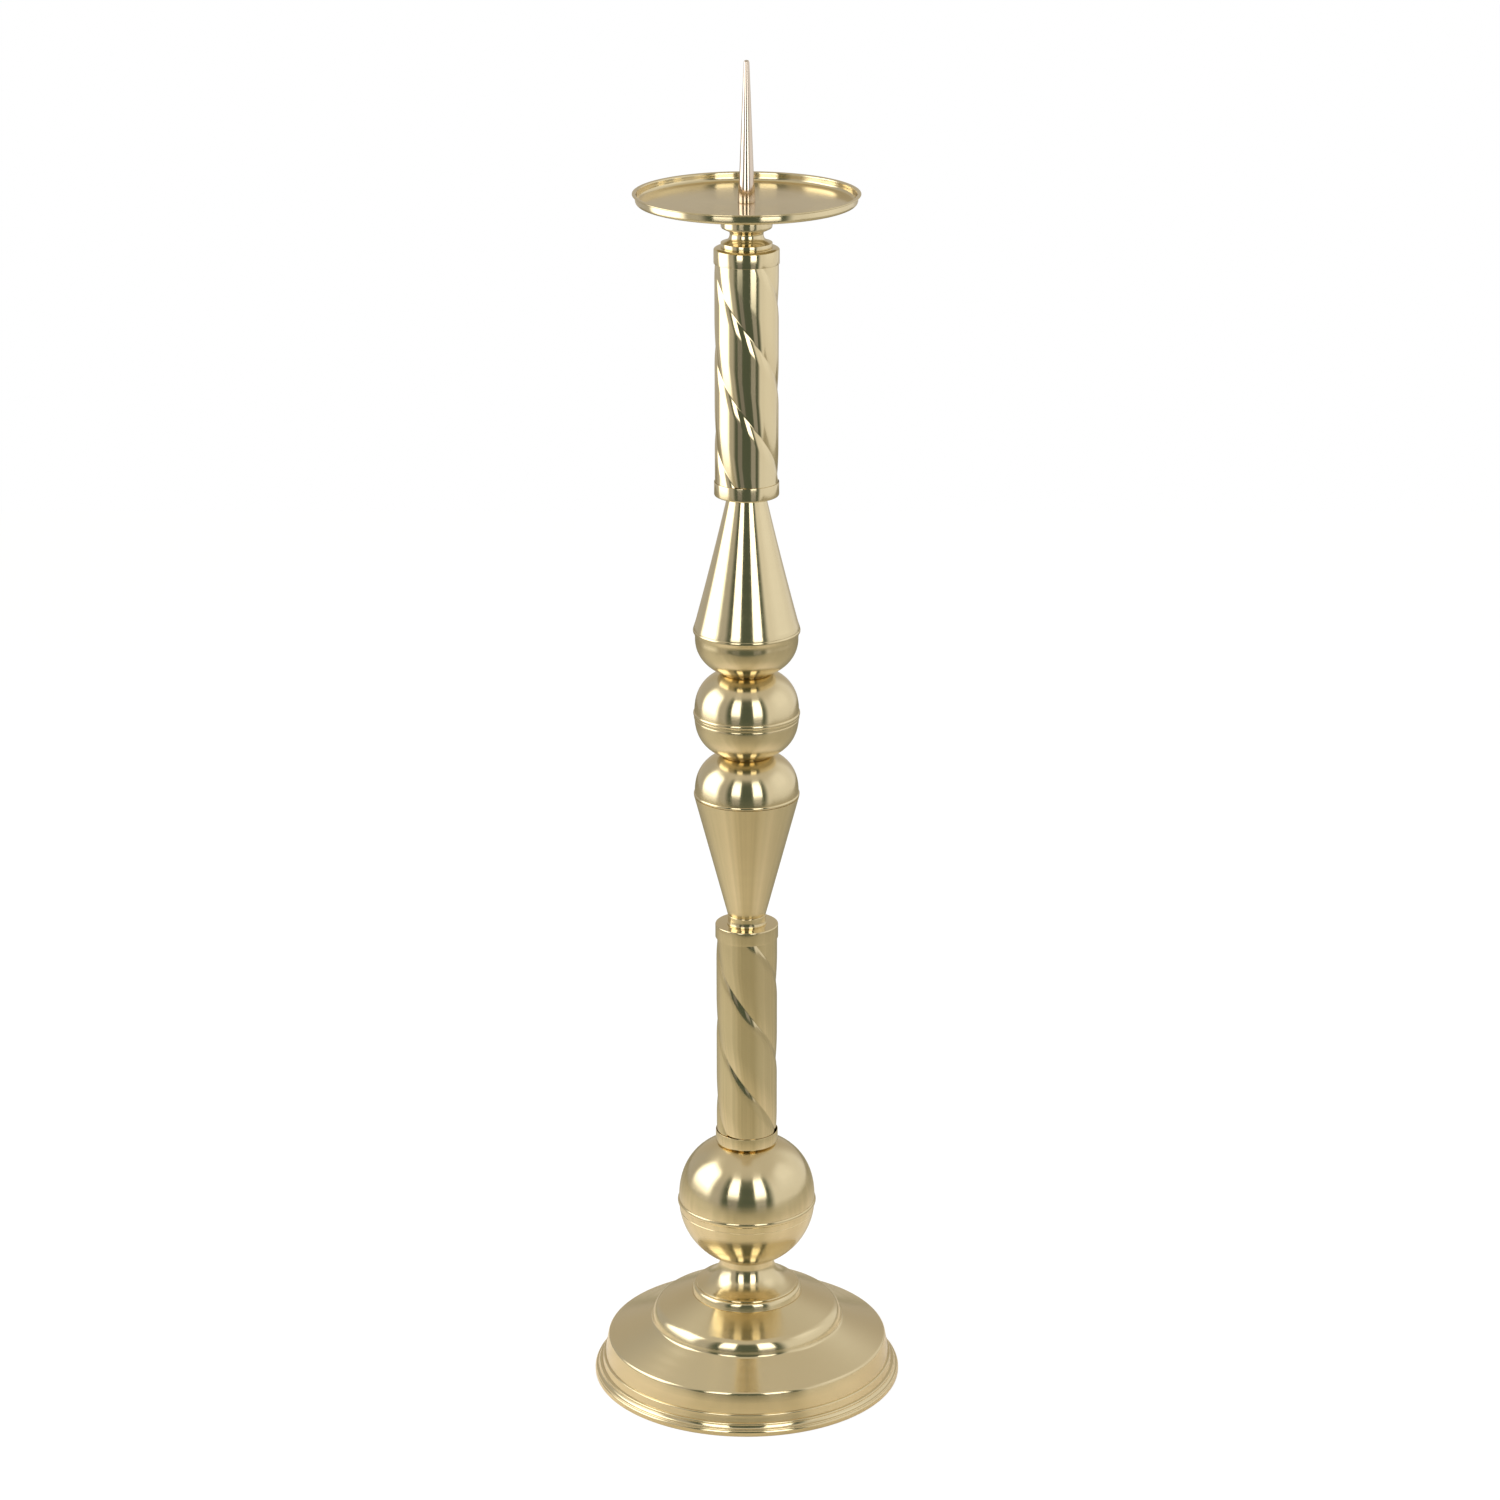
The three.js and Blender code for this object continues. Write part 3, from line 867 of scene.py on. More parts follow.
@dataclass
class Base:
    """Stepped base shell with its trumpet neck, ballast and fixings."""

    sheet: float = 1.2
    height: float = 79.1
    rod_hole: float = 5.4
    upper_shelf: tuple = ((50.6, 79.1, 0.6), (78.4, 67.15), (80.6, 66.1), (82.9, 64.3))
    upper_shoulder: tuple = ((84.9, 61.5), (86.3, 58.3), (87.1, 55.1), (87.8, 53.4), (89.2, 52.3))
    lower_shelf: tuple = ((127.4, 36.7, 3.5), (130.8, 18.5))
    flare: tuple = ((130.8, 18.1), (131.8, 17.9), (132.4, 17.3), (132.7, 15.8), (133.7, 11.3))
    bead: tuple = ((134.9, 11.1), (135.7, 10.8), (136.1, 10.0), (135.9, 9.2), (136.2, 8.6))
    rim: tuple = ((136.6, 7.6), (137.6, 6.6), (138.6, 6.4), (139.1, 5.8), (139.1, 5.0))
    edge: tuple = ((139.8, 4.2), (140.0, 3.2), (140.0, 0.9), (139.7, 0.3), (139.2, 0.0))
    hem: float = 136.4
    inner_rim: tuple = ((127.4, 36.7, 3.5), (130.9, 18.0), (134.0, 10.4), (136.2, 8.2))
    inner_foot: tuple = ((139.0, 5.2), (140.0, 3.4), (140.0, 0.0))
    neck_sheet: float = 1.0
    neck_ring: tuple = ((50.0, 0.0), (50.2, 0.4), (49.9, 1.8), (49.5, 3.6), (49.0, 5.3))
    neck_round: tuple = ((48.2, 6.7), (47.1, 7.5), (46.0, 7.6))
    neck_groove: tuple = ((46.2, 8.0), (45.9, 8.7), (44.6, 9.3))
    neck_flank: tuple = ((41.0, 10.7), (35.0, 13.9), (29.5, 18.9), (26.0, 24.9), (24.7, 28.9))
    neck_top: tuple = ((24.6, 31.5), (24.6, 35.0))
    ballast_radius: float = 118.0
    ballast_height: float = 14.0
    ballast_foot_round: float = 2.0
    ballast_top_round: float = 0.8
    clamp_radius: float = 22.0
    clamp_height: float = 3.0
    clamp_round: float = 0.4
    lock_radius: float = 8.8
    lock_height: float = 2.2
    lock_round: float = 0.2
    lock_slot: float = 2.0
    nut_across_flats: float = 17.0
    nut_height: float = 8.4
    nut_sides: int = 6
    nut_slope: float = 30.0
    nut_spare: Point = (0.1, 0.06)
    cutter_reach: float = 1.5
    bore_edge: float = 0.5
    rod_radius: float = 4.85
    rod_play: float = 0.3
    rod_taper: float = 1.0
    rod_foot_thread: Point = (0.6, 30.0)
    rod_head_thread: Point = (12.0, 1.2)
    thread_runout: float = 0.6

    def build(self, shop: Workshop) -> None:
        """Make the base from the floor up.

        Args:
            shop: Where the finished pieces go.
        """
        shop.turned("base_shell", self.shell_outline(), SATIN_BRASS, Faces.WIDE)
        flank = flowing((*self.neck_groove[-1:], *self.neck_flank, *self.neck_top))
        flank.append((self.rod_hole, self.neck_top[-1][1]))
        foot = [*flowing(self.neck_ring + self.neck_round), *self.neck_groove[:-1]]
        plain_foot = [*self.neck_ring, *self.neck_round[:2]]
        inner = inside_of([*plain_foot, *flank], self.neck_sheet)
        inner[0] = (inner[0][0], 0.0)
        shop.turned("base_neck", [*foot, *flank, *reversed(inner)], SATIN_BRASS)
        self.ballast(shop)
        self.fixings(shop)
        self.tie_rod(shop)

    def shell_outline(self) -> list[Point]:
        """Outline the shell, from the rod hole out and down, and back inside.

        Returns:
            The closed outline.
        """
        step = flowing((*self.upper_shelf[1:], *self.upper_shoulder))
        top = [(self.rod_hole, self.height), self.upper_shelf[0], *step]
        outer = rounded((*top, *self.lower_shelf))
        for form in (self.flare, self.bead, self.rim, self.edge):
            outer += flowing(form, 3)
        bare = rounded((*top, *self.inner_rim, *self.inner_foot))
        inner = inside_of([(self.hem, 0.0), *reversed(bare)], self.sheet)
        return [*outer, (self.hem, 0.0), *inner]

    def ballast(self, shop: Workshop) -> None:
        """Make the cast disc that keeps the candlestick upright.

        Args:
            shop: Where it goes.
        """
        outline = rounded(
            (
                (self.rod_hole, 0.0),
                (self.ballast_radius, 0.0, self.ballast_foot_round),
                (self.ballast_radius, self.ballast_height, self.ballast_top_round),
                (self.rod_hole, self.ballast_height),
            )
        )
        shop.turned("ballast_disc", outline, CAST_IRON)

    def fixings(self, shop: Workshop) -> None:
        """Make the washers and the nut under the base.

        Args:
            shop: Where they go.
        """
        clamp = washer_outline(
            self.rod_hole, self.clamp_radius, self.clamp_height, self.clamp_round
        )
        shop.turned("clamp_washer", clamp, ZINC, Faces.SMALL)

        gap = 2 * math.asin(self.lock_slot / 2 / self.lock_radius)
        bore = self.rod_radius + self.rod_play
        ring = washer_outline(bore, self.lock_radius, self.lock_height, self.lock_round)
        level = shop.level("lock_washer")
        lock = turn("fine_lock_washer", ring, level, Faces.SPLIT, FULL_TURN - gap, gap / 2)
        shop.hand_over(lock, "lock_washer", ZINC)
        shop.hand_over(self.nut(shop.level("base_nut"), bore), "base_nut", ZINC)

    def nut(self, level: float, bore: float) -> Piece:
        """Make the nut: a turned blank with chamfered ends, cut to six sides.

        Args:
            level: Level of its underside, in metres.
            bore: Radius of its hole.

        Returns:
            The nut.
        """
        flat = self.nut_across_flats / 2
        corner = flat / math.cos(math.pi / self.nut_sides)
        slope = (corner - flat) * math.tan(math.radians(self.nut_slope))
        spare, drop = self.nut_spare
        edge = self.bore_edge
        blank = turn(
            "fine_base_nut",
            [
                (bore + edge, 0.0),
                (flat, 0.0),
                (corner + spare, slope + drop),
                (corner + spare, self.nut_height - slope - drop),
                (flat, self.nut_height),
                (bore + edge, self.nut_height),
                (bore, self.nut_height - edge),
                (bore, edge),
            ],
            level,
            Faces.SMALL,
        )
        alone()
        bpy.ops.mesh.primitive_cylinder_add(
            vertices=self.nut_sides,
            radius=corner * MM,
            depth=self.nut_height * self.cutter_reach * MM,
            location=(0, 0, level + self.nut_height / 2 * MM),
            rotation=(0, 0, math.pi / self.nut_sides),
        )
        cutter = bpy.context.object
        alone()
        bpy.context.view_layer.objects.active = blank
        blank.select_set(True)
        cut = blank.modifiers.new("six_sides", "BOOLEAN")
        cut.operation = "INTERSECT"
        cut.solver = "EXACT"
        cut.object = cutter
        apply_modifiers()
        bpy.data.objects.remove(cutter)
        return settle("fine_base_nut")

    def tie_rod(self, shop: Workshop) -> None:
        """Make the rod that clamps the stack, threaded at both ends.

        Args:
            shop: Where it goes.
        """
        low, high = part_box("tie_rod")
        length = (high.z - low.z) / MM
        radius, tip = self.rod_radius, self.rod_radius - self.rod_taper
        head_start, head_end = (length - inset for inset in self.rod_head_thread)
        outline = [
            (0.0, 0.0),
            (tip, 0.0),
            *threaded(radius, *self.rod_foot_thread),
            (radius, self.rod_foot_thread[1] + self.thread_runout),
            (radius, head_start - self.thread_runout),
            *threaded(radius, head_start, head_end),
            (tip, length),
            (0.0, length),
        ]
        shop.turned("tie_rod", outline, ZINC, Faces.ROD)


@dataclass(frozen=True)
class Crown:
    """Form of an upper half: a rolled bead under a slightly squared-off round.

    Sizes are in millimetres, and the seam lies under the widest level.
    """

    radius: float
    rise: float
    power: float
    seam_drop: float
    top_rise: float
    bead_height: float
    bead_standout: float
    bead_inset: float = 0.05
    steps: int = 36
    bead_steps: int = 10


@dataclass
class Hollow:
    """A hollow of two spun halves, sizes in millimetres."""

    sheet: float = 1.0
    rod_hole: float = 5.4
    lip_height: float = 3.0
    lip_play: float = 0.3

    def lower_half(self, line: Sequence[Point], match: float) -> list[Point]:
        """Outline a lower half: foot plate, wall, and the lip inside the seam.

        Args:
            line: Outer line from the edge of the foot to the seam.
            match: Radius of the upper half at the seam.

        Returns:
            The closed outline.
        """
        seam = line[-1][1]
        lip = match - self.sheet - self.lip_play
        outer = [(self.rod_hole, 0.0), *line]
        ledge = seam - self.sheet
        wall = [point for point in inside_of(outer, self.sheet) if point[1] < ledge]
        inner = [
            *wall,
            (wall[-1][0], ledge),
            (lip - self.sheet, ledge),
            (lip - self.sheet, seam + self.lip_height),
        ]
        return [*outer, (lip, seam), (lip, seam + self.lip_height), *reversed(inner)]

    def upper_half(self, crown: Crown) -> list[Point]:
        """Outline an upper half: rolled bead, wall and top plate.

        Args:
            crown: Its form.

        Returns:
            The closed outline.
        """
        bead = half_round(
            crown.radius - crown.bead_inset,
            0.0,
            crown.bead_height,
            crown.bead_standout,
            crown.bead_steps,
        )
        arch = squared_round(
            crown.radius, crown.rise, crown.power, -crown.seam_drop, crown.top_rise, crown.steps
        )
        line = lifted(arch, crown.seam_drop)
        above = [point for point in line if point[1] > bead[-1][1]]
        hole = (self.rod_hole, crown.top_rise + crown.seam_drop)
        wall = inside_of([*line, hole], self.sheet)
        wall[0] = (wall[0][0], 0.0)
        return [*bead, *above, hole, *reversed(wall)]


@dataclass
class LargeBall(Hollow):
    """The large ball over the base.

    Its own rise and power are those of the lower half, with the fine groove.
    """

    crown: Crown = Crown(
        radius=61.9,
        rise=59.9,
        power=2.34,
        seam_drop=3.1,
        top_rise=57.6,
        bead_height=4.5,
        bead_standout=1.15,
        steps=44,
        bead_steps=12,
    )
    rise: float = 62.3
    power: float = 2.0
    foot_drop: float = 57.1
    groove_level: float = 48.4
    groove_depth: float = 0.27
    groove_width: float = 0.8
    groove_floor: float = 0.3
    groove_edges: Point = (-0.05, 0.02)

    def build(self, shop: Workshop) -> None:
        """Make both halves.

        Args:
            shop: Where they go.
        """
        crown = self.crown
        wall = squared_round(
            crown.radius, self.rise, self.power, -self.foot_drop, -crown.seam_drop, crown.steps
        )
        line = self.with_groove(lifted(wall, self.foot_drop))
        shop.turned("large_ball_lower", self.lower_half(line, crown.radius), SATIN_BRASS)
        shop.turned("large_ball_upper", self.upper_half(crown), SATIN_BRASS)

    def with_groove(self, line: Sequence[Point]) -> list[Point]:
        """Cut the fine decorative groove into a wall.

        Args:
            line: The wall's line.

        Returns:
            The line with the groove.
        """
        low = self.groove_level - self.groove_width / 2
        high = self.groove_level + self.groove_width / 2
        below = [point for point in line if point[1] < low]
        above = [point for point in line if point[1] > high]
        share = (self.groove_level - below[-1][1]) / (above[0][1] - below[-1][1])
        middle = below[-1][0] + (above[0][0] - below[-1][0]) * share
        return [
            *below,
            (middle + self.groove_edges[0], low),
            (middle - self.groove_depth, self.groove_level - self.groove_floor / 2),
            (middle - self.groove_depth, self.groove_level + self.groove_floor / 2),
            (middle + self.groove_edges[1], high),
            *above,
        ]


@dataclass
class MiddleBall(Hollow):
    """The middle ball with the washers above and below it.

    The points of its step give how far they stand out and their level over the foot
    of the step, or over the seam for the last two.
    """

    crown: Crown = Crown(
        radius=46.1,
        rise=40.5,
        power=2.44,
        seam_drop=1.5,
        top_rise=37.4,
        bead_height=3.6,
        bead_standout=1.0,
    )
    foot_drop: float = 37.3
    step_height: float = 2.7
    step_gap: float = 0.6
    step_foot: tuple = ((-0.2, -0.5), (-0.45, -0.2), (-0.45, 0.0), (0.28, 0.25), (0.35, 0.5))
    step_head: tuple = ((0.35, -0.25), (0.15, 0.0))
    washer_radius: float = 21.0
    washer_height: float = 1.0
    washer_round: float = 0.3

    def build(self, shop: Workshop) -> None:
        """Make both halves and both washers.

        Args:
            shop: Where they go.
        """
        ring = washer_outline(
            self.rod_hole, self.washer_radius, self.washer_height, self.washer_round
        )
        for node in ("lower_ball_washer", "upper_ball_washer"):
            shop.turned(node, ring, BRASS, Faces.SMALL)

        crown = self.crown
        wall = squared_round(
            crown.radius, crown.rise, crown.power, -self.foot_drop, -crown.seam_drop, crown.steps
        )
        seam = self.foot_drop - crown.seam_drop
        step = seam - self.step_height
        line = [
            point for point in lifted(wall, self.foot_drop) if point[1] < step - self.step_gap
        ]
        for foot, form in ((step, self.step_foot), (seam, self.step_head)):
            line += [(crown.radius + standout, foot + level) for standout, level in form]
        shop.turned("middle_ball_lower", self.lower_half(line, crown.radius), SATIN_BRASS)
        shop.turned("middle_ball_upper", self.upper_half(crown), SATIN_BRASS)


@dataclass
class ConeAndDome(Hollow):
    """The lower cone on its collar, closed by a dome."""

    foot: tuple = ((16.4, 0.0), (17.05, 0.2, 0.15))
    rim: Point = (46.7, 112.4)
    steps: int = 24
    dome: Crown = Crown(
        radius=46.0,
        rise=39.05,
        power=2.43,
        seam_drop=2.0,
        top_rise=35.8,
        bead_height=2.9,
        bead_standout=0.9,
    )
    collar: tuple = (
        (17.5, 0.0),
        (17.7, 0.25),
        (17.7, 1.25),
        (17.5, 1.5),
        (17.15, 1.55),
        (17.0, 2.0),
        (16.85, 4.6),
        (16.95, 7.6),
        (17.1, 8.5),
        (16.9, 8.8),
    )

    def build(self, shop: Workshop) -> None:
        """Make the collar, the cone and the dome.

        Args:
            shop: Where they go.
        """
        collar = [(self.rod_hole, 0.0), *self.collar, (self.rod_hole, self.collar[-1][1])]
        shop.turned("cone_collar", collar, BRASS, Faces.SMALL)

        line = rounded((*self.foot, self.rim), 3)[:-1]
        radius, level = line[-1]
        for step in range(1, self.steps + 1):
            share = step / self.steps
            line.append(
                (radius + (self.rim[0] - radius) * share, level + (self.rim[1] - level) * share)
            )
        shop.turned("lower_cone", self.lower_half(line, self.dome.radius), SATIN_BRASS)
        shop.turned("lower_dome", self.upper_half(self.dome), SATIN_BRASS)


@dataclass
class BowlAndCone(Hollow):
    """The upper bowl with the tall cone that stands in it."""

    bowl_radius: float = 45.3
    bowl_rise: float = 34.7
    bowl_power: float = 2.15
    bowl_drop: float = 30.6
    bowl_rim: tuple = ((45.35, 32.0), (45.5, 33.5), (45.9, 34.7), (46.2, 35.3), (46.3, 35.7))
    cone_bead: tuple = ((46.35, 0.0), (46.9, 0.9), (47.05, 2.2), (46.9, 3.0), (46.5, 3.6))
    cone_foot: Point = (46.55, 4.4)
    cone_tip: Point = (17.0, 123.7)
    cone_steps: int = 32
    upright_foot: float = 2.0
    sag: float = 0.56
    flare: float = 0.35
    flare_reach: float = 0.06

    def build(self, shop: Workshop) -> None:
        """Make the bowl and the cone.

        Args:
            shop: Where they go.
        """
        wall = squared_round(
            self.bowl_radius, self.bowl_rise, self.bowl_power, -self.bowl_drop, 0.0
        )
        line = [*lifted(wall, self.bowl_drop), *flowing(self.bowl_rim, 3)]
        shop.turned("upper_bowl", self.lower_half(line, self.cone_foot[0]), SATIN_BRASS)

        flank = []
        for step in range(self.cone_steps + 1):
            share = step / self.cone_steps
            sag = 4 * self.sag * share * (1 - share)
            flare = self.flare * max(0.0, 1 - share / self.flare_reach) ** 2
            radius = self.cone_foot[0] + (self.cone_tip[0] - self.cone_foot[0]) * share
            level = self.cone_foot[1] + (self.cone_tip[1] - self.cone_foot[1]) * share
            flank.append((radius - sag + flare - self.flare, level))
        tip = (self.cone_tip[0] - self.flare, self.cone_tip[1])
        wall = [*flank[:-1], tip, (self.rod_hole, tip[1])]
        foot = self.cone_bead[0][0]
        inner = inside_of([(foot, 0.0), (foot, self.upright_foot), *wall], self.sheet)
        inner[0] = (inner[0][0], 0.0)
        outline = [*flowing(self.cone_bead, 3), *wall, *reversed(inner)]
        shop.turned("upper_cone", outline, SATIN_BRASS)


@dataclass
class TwistedTube:
    """A spirally fluted tube between its ferrule and its cap."""

    prefix: str
    radius: float
    sleeve: float
    crease_level: float
    foot_height: float
    foot_edge: float
    head_height: float
    shoulder_width: float
    shoulder_height: float
    sleeve_wall: float = 0.5
    sleeve_round: float = 0.2
    rod_hole: float = 5.4
    wall: float = 1.0
    crease_depth: float = 1.25
    spread_above: float = 28.0
    spread_below: float = 14.0
    spacing: float = 75.0
    creases: int = 3
    around: int = 240
    rows: int = 120

    def build(self, shop: Workshop) -> None:
        """Make the ferrule, the tube and the cap.

        Args:
            shop: Where they go.
        """
        shop.turned(f"{self.prefix}_tube_ferrule", self.ferrule_outline(), BRASS)
        node = f"{self.prefix}_twist_tube"
        shop.hand_over(self.tube(node), node, TUBE_BRASS)
        shop.turned(f"{self.prefix}_tube_cap", self.cap_outline(), BRASS)

    def ferrule_outline(self) -> list[Point]:
        """Outline the cup under the tube.

        Returns:
            The closed outline.
        """
        inner = self.sleeve - self.sleeve_wall
        plate = max(self.wall, self.foot_edge)
        return rounded(
            (
                (self.rod_hole, 0.0),
                (self.sleeve, 0.0, self.foot_edge),
                (self.sleeve, self.foot_height, self.sleeve_round),
                (inner, self.foot_height, self.sleeve_round),
                (inner, plate),
                (self.rod_hole, plate),
            )
        )

    def cap_outline(self) -> list[Point]:
        """Outline the cap over the tube, with its rounded shoulder.

        Returns:
            The closed outline.
        """
        inner = self.sleeve - self.sleeve_wall
        plate = self.head_height - max(self.wall, self.shoulder_height)
        shoulder = [
            (
                self.sleeve - self.shoulder_width * (1 - math.cos(math.radians(angle))),
                self.head_height
                - self.shoulder_height
                + self.shoulder_height * math.sin(math.radians(angle)),
            )
            for angle in range(0, 91, 10)
        ]
        mouth = ((inner, 0.0, self.sleeve_round), (self.sleeve, 0.0, self.sleeve_round))
        foot = rounded(((inner, 1.0), *mouth, shoulder[0]), 3)
        top = [(self.rod_hole, self.head_height), (self.rod_hole, plate), (inner, plate)]
        return [*foot, *shoulder[1:], *top]

    def depth_at(self, above: float) -> float:
        """Depth of the flute at a height above the crease below it.

        Args:
            above: The height, from 0 to the spacing.

        Returns:
            The depth.
        """
        upper = max(0.0, 1 - above / self.spread_above)
        lower = max(0.0, 1 - (self.spacing - above) / self.spread_below)
        return self.crease_depth * max(upper, lower) ** 2

    def tube(self, node: str) -> Piece:
        """Make the fluted tube: a pressed ring carried up round the axis.

        Args:
            node: The CAD node that it stands for.

        Returns:
            The tube.
        """
        low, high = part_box(node)
        lead = self.spacing * self.creases
        start = low.z / MM - self.crease_level
        crease = -FULL_TURN * start / lead
        alone()
        bpy.ops.mesh.primitive_circle_add(
            vertices=self.around, radius=self.radius * MM, location=(0, 0, low.z)
        )
        bpy.ops.object.mode_set(mode="EDIT")
        bpy.ops.mesh.select_mode(type="VERT")
        bpy.ops.mesh.select_all(action="SELECT")
        bpy.ops.transform.rotate(value=-crease, orient_axis="Z", center_override=(0, 0, 0))
        per_flute = self.around // self.creases
        pitch = FULL_TURN / self.around
        for index in range(per_flute):
            depth = self.depth_at(self.spacing * index / per_flute)
            if depth == 0:
                continue

            def on_this_line(place: Vector) -> bool:
                """Whether a corner of the ring lies at this depth of its flute."""
                angle = math.atan2(place.x, -place.y) - crease
                return round(angle / pitch) % per_flute == index

            select_vertices(on_this_line)
            size = 1 - depth / self.radius
            bpy.ops.transform.resize(value=(size, size, 1), center_override=(0, 0, low.z))
        bpy.ops.object.mode_set(mode="OBJECT")
        bpy.ops.object.transform_apply(location=True, rotation=True, scale=True)
        ring = bpy.context.object
        twist = ring.modifiers.new("twist", "SCREW")
        twist.axis = "Z"
        twist.angle = -FULL_TURN * (high.z - low.z) / MM / lead
        twist.screw_offset = high.z - low.z
        twist.steps = self.rows
        twist.render_steps = self.rows
        apply_modifiers()
        bpy.ops.object.mode_set(mode="EDIT")
        bpy.ops.mesh.select_all(action="SELECT")
        bpy.ops.mesh.normals_make_consistent(inside=False)
        bpy.ops.object.mode_set(mode="OBJECT")
        face = ring.data.polygons[0]
        if face.normal.dot(Vector((face.center.x, face.center.y, 0))) < 0:
            bpy.ops.object.mode_set(mode="EDIT")
            bpy.ops.mesh.flip_normals()
            bpy.ops.object.mode_set(mode="OBJECT")
        sheet = ring.modifiers.new("sheet", "SOLIDIFY")
        sheet.thickness = self.wall * MM
        sheet.offset = -1
        sheet.use_rim = True
        apply_modifiers()
        return settle(f"fine_{node}")


@dataclass
class Neck:
    """The turned spool and the seat of the pan at the top of the stem."""

    rod_hole: float = 5.4
    thread_hole: float = 5.15
    rod_engagement: float = 8.3
    stud_floor: float = 14.8
    spool_band: tuple = ((22.1, 0.0, 0.25), (22.1, 4.2, 0.3), (21.2, 4.3))
    spool_hollow: tuple = ((21.2, 4.3), (19.3, 4.9), (17.2, 6.0), (15.6, 7.5), (14.7, 9.5))
    spool_top: Point = (14.4, 11.6)
    seat_foot: tuple = ((14.4, 0.0), (14.7, 1.2), (15.7, 2.4), (18.4, 3.7), (21.0, 5.0))
    seat_edge: tuple = ((21.8, 5.8), (22.1, 7.2))
    seat_height: float = 25.8
    seat_round: float = 0.4

    def build(self, shop: Workshop) -> None:
        """Make the spool and the seat.

        Args:
            shop: Where they go.
        """
        band = rounded(((self.rod_hole, 0.0), *self.spool_band), 3)
        hollow = flowing((*self.spool_hollow, self.spool_top))
        spool = [*band, *hollow[1:], (self.rod_hole, self.spool_top[1])]
        shop.turned("neck_spool", spool, SATIN_BRASS, Faces.SMALL)

        rim = (self.seat_edge[-1][0], self.seat_height, self.seat_round)
        wall = rounded((self.seat_edge[-1], rim, (self.thread_hole, self.seat_height)))
        seat = [
            (0.0, self.rod_engagement),
            (self.thread_hole, self.rod_engagement),
            (self.thread_hole, 0.0),
            *flowing((*self.seat_foot, *self.seat_edge)),
            *wall[1:],
            (self.thread_hole, self.stud_floor),
            (0.0, self.stud_floor),
        ]
        shop.turned("pan_seat", seat, SATIN_BRASS, Faces.SMALL)


@dataclass
class DripPan:
    """The loose pan with its coved floor and rolled lip."""

    hole: float = 7.7
    sheet: float = 1.2
    underside: tuple = (
        (90.6, 0.0),
        (92.6, 0.4),
        (93.9, 1.3),
        (94.5, 2.7),
        (94.65, 4.6),
        (94.7, 7.0),
    )
    lip: tuple = (
        (94.75, 7.35),
        (95.2, 7.6),
        (96.3, 7.65),
        (97.0, 8.1),
        (97.1, 8.6),
        (96.75, 9.0),
        (96.1, 9.1),
        (95.0, 9.1),
    )
    inside: tuple = (
        (94.1, 8.9),
        (93.6, 8.2),
        (93.4, 6.6),
        (93.3, 4.6),
        (92.9, 3.2),
        (91.9, 2.1),
        (90.4, 1.45),
        (88.6, 1.22),
    )
    floor_edge: float = 88.0

    def build(self, shop: Workshop) -> None:
        """Make the pan.

        Args:
            shop: Where it goes.
        """
        outline = [
            (self.hole, 0.0),
            *flowing(self.underside),
            *flowing(self.lip, 3),
            *flowing(self.inside),
            (self.floor_edge, self.sheet),
            (self.hole, self.sheet),
        ]
        shop.turned("drip_pan", outline, SATIN_BRASS, Faces.WIDE)


@dataclass
class Spike:
    """The spike with its threaded stud and washer."""

    stud_radius: float = 4.85
    stud_length: float = 9.5
    stud_taper: float = 0.9
    stud_lead: float = 0.4
    thread_end: float = -1.0
    undercut: Point = (0.6, -0.8)
    foot: tuple = ((7.4, 0.0, 0.35), (7.4, 2.6))
    waist: tuple = ((7.4, 2.6), (7.38, 5.5), (7.2, 9.5), (6.85, 14.0), (6.4, 19.5), (6.05, 26.0))
    point: tuple = ((2.43, 117.6), (2.36, 118.6), (2.05, 119.5), (1.45, 120.1), (0.7, 120.36))
    height: float = 120.4
    washer_play: float = 0.3
    washer_height: float = 1.0
    washer_round: float = 0.25

    def build(self, shop: Workshop) -> None:
        """Make the washer and the spike.

        Args:
            shop: Where they go.
        """
        bore = self.stud_radius + self.washer_play
        ring = washer_outline(bore, self.foot[0][0], self.washer_height, self.washer_round)
        shop.turned("spike_washer", ring, ZINC, Faces.SPIKE)

        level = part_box("spike")[0].z + self.stud_length * MM
        waist = self.stud_radius - self.undercut[0]
        outline = [
            (0.0, -self.stud_length),
            (self.stud_radius - self.stud_taper, -self.stud_length),
            *threaded(self.stud_radius, self.stud_lead - self.stud_length, self.thread_end),
            (waist, self.undercut[1]),
            (waist, 0.0),
            *rounded(((self.stud_radius, 0.0), *self.foot), 3),
            *flowing(self.waist)[1:],
            *flowing(self.point, 3),
            (0.0, self.height),
        ]
        spike = turn("fine_spike", outline, level, Faces.SPIKE)
        shop.hand_over(spike, "spike", SPIKE_BRASS)


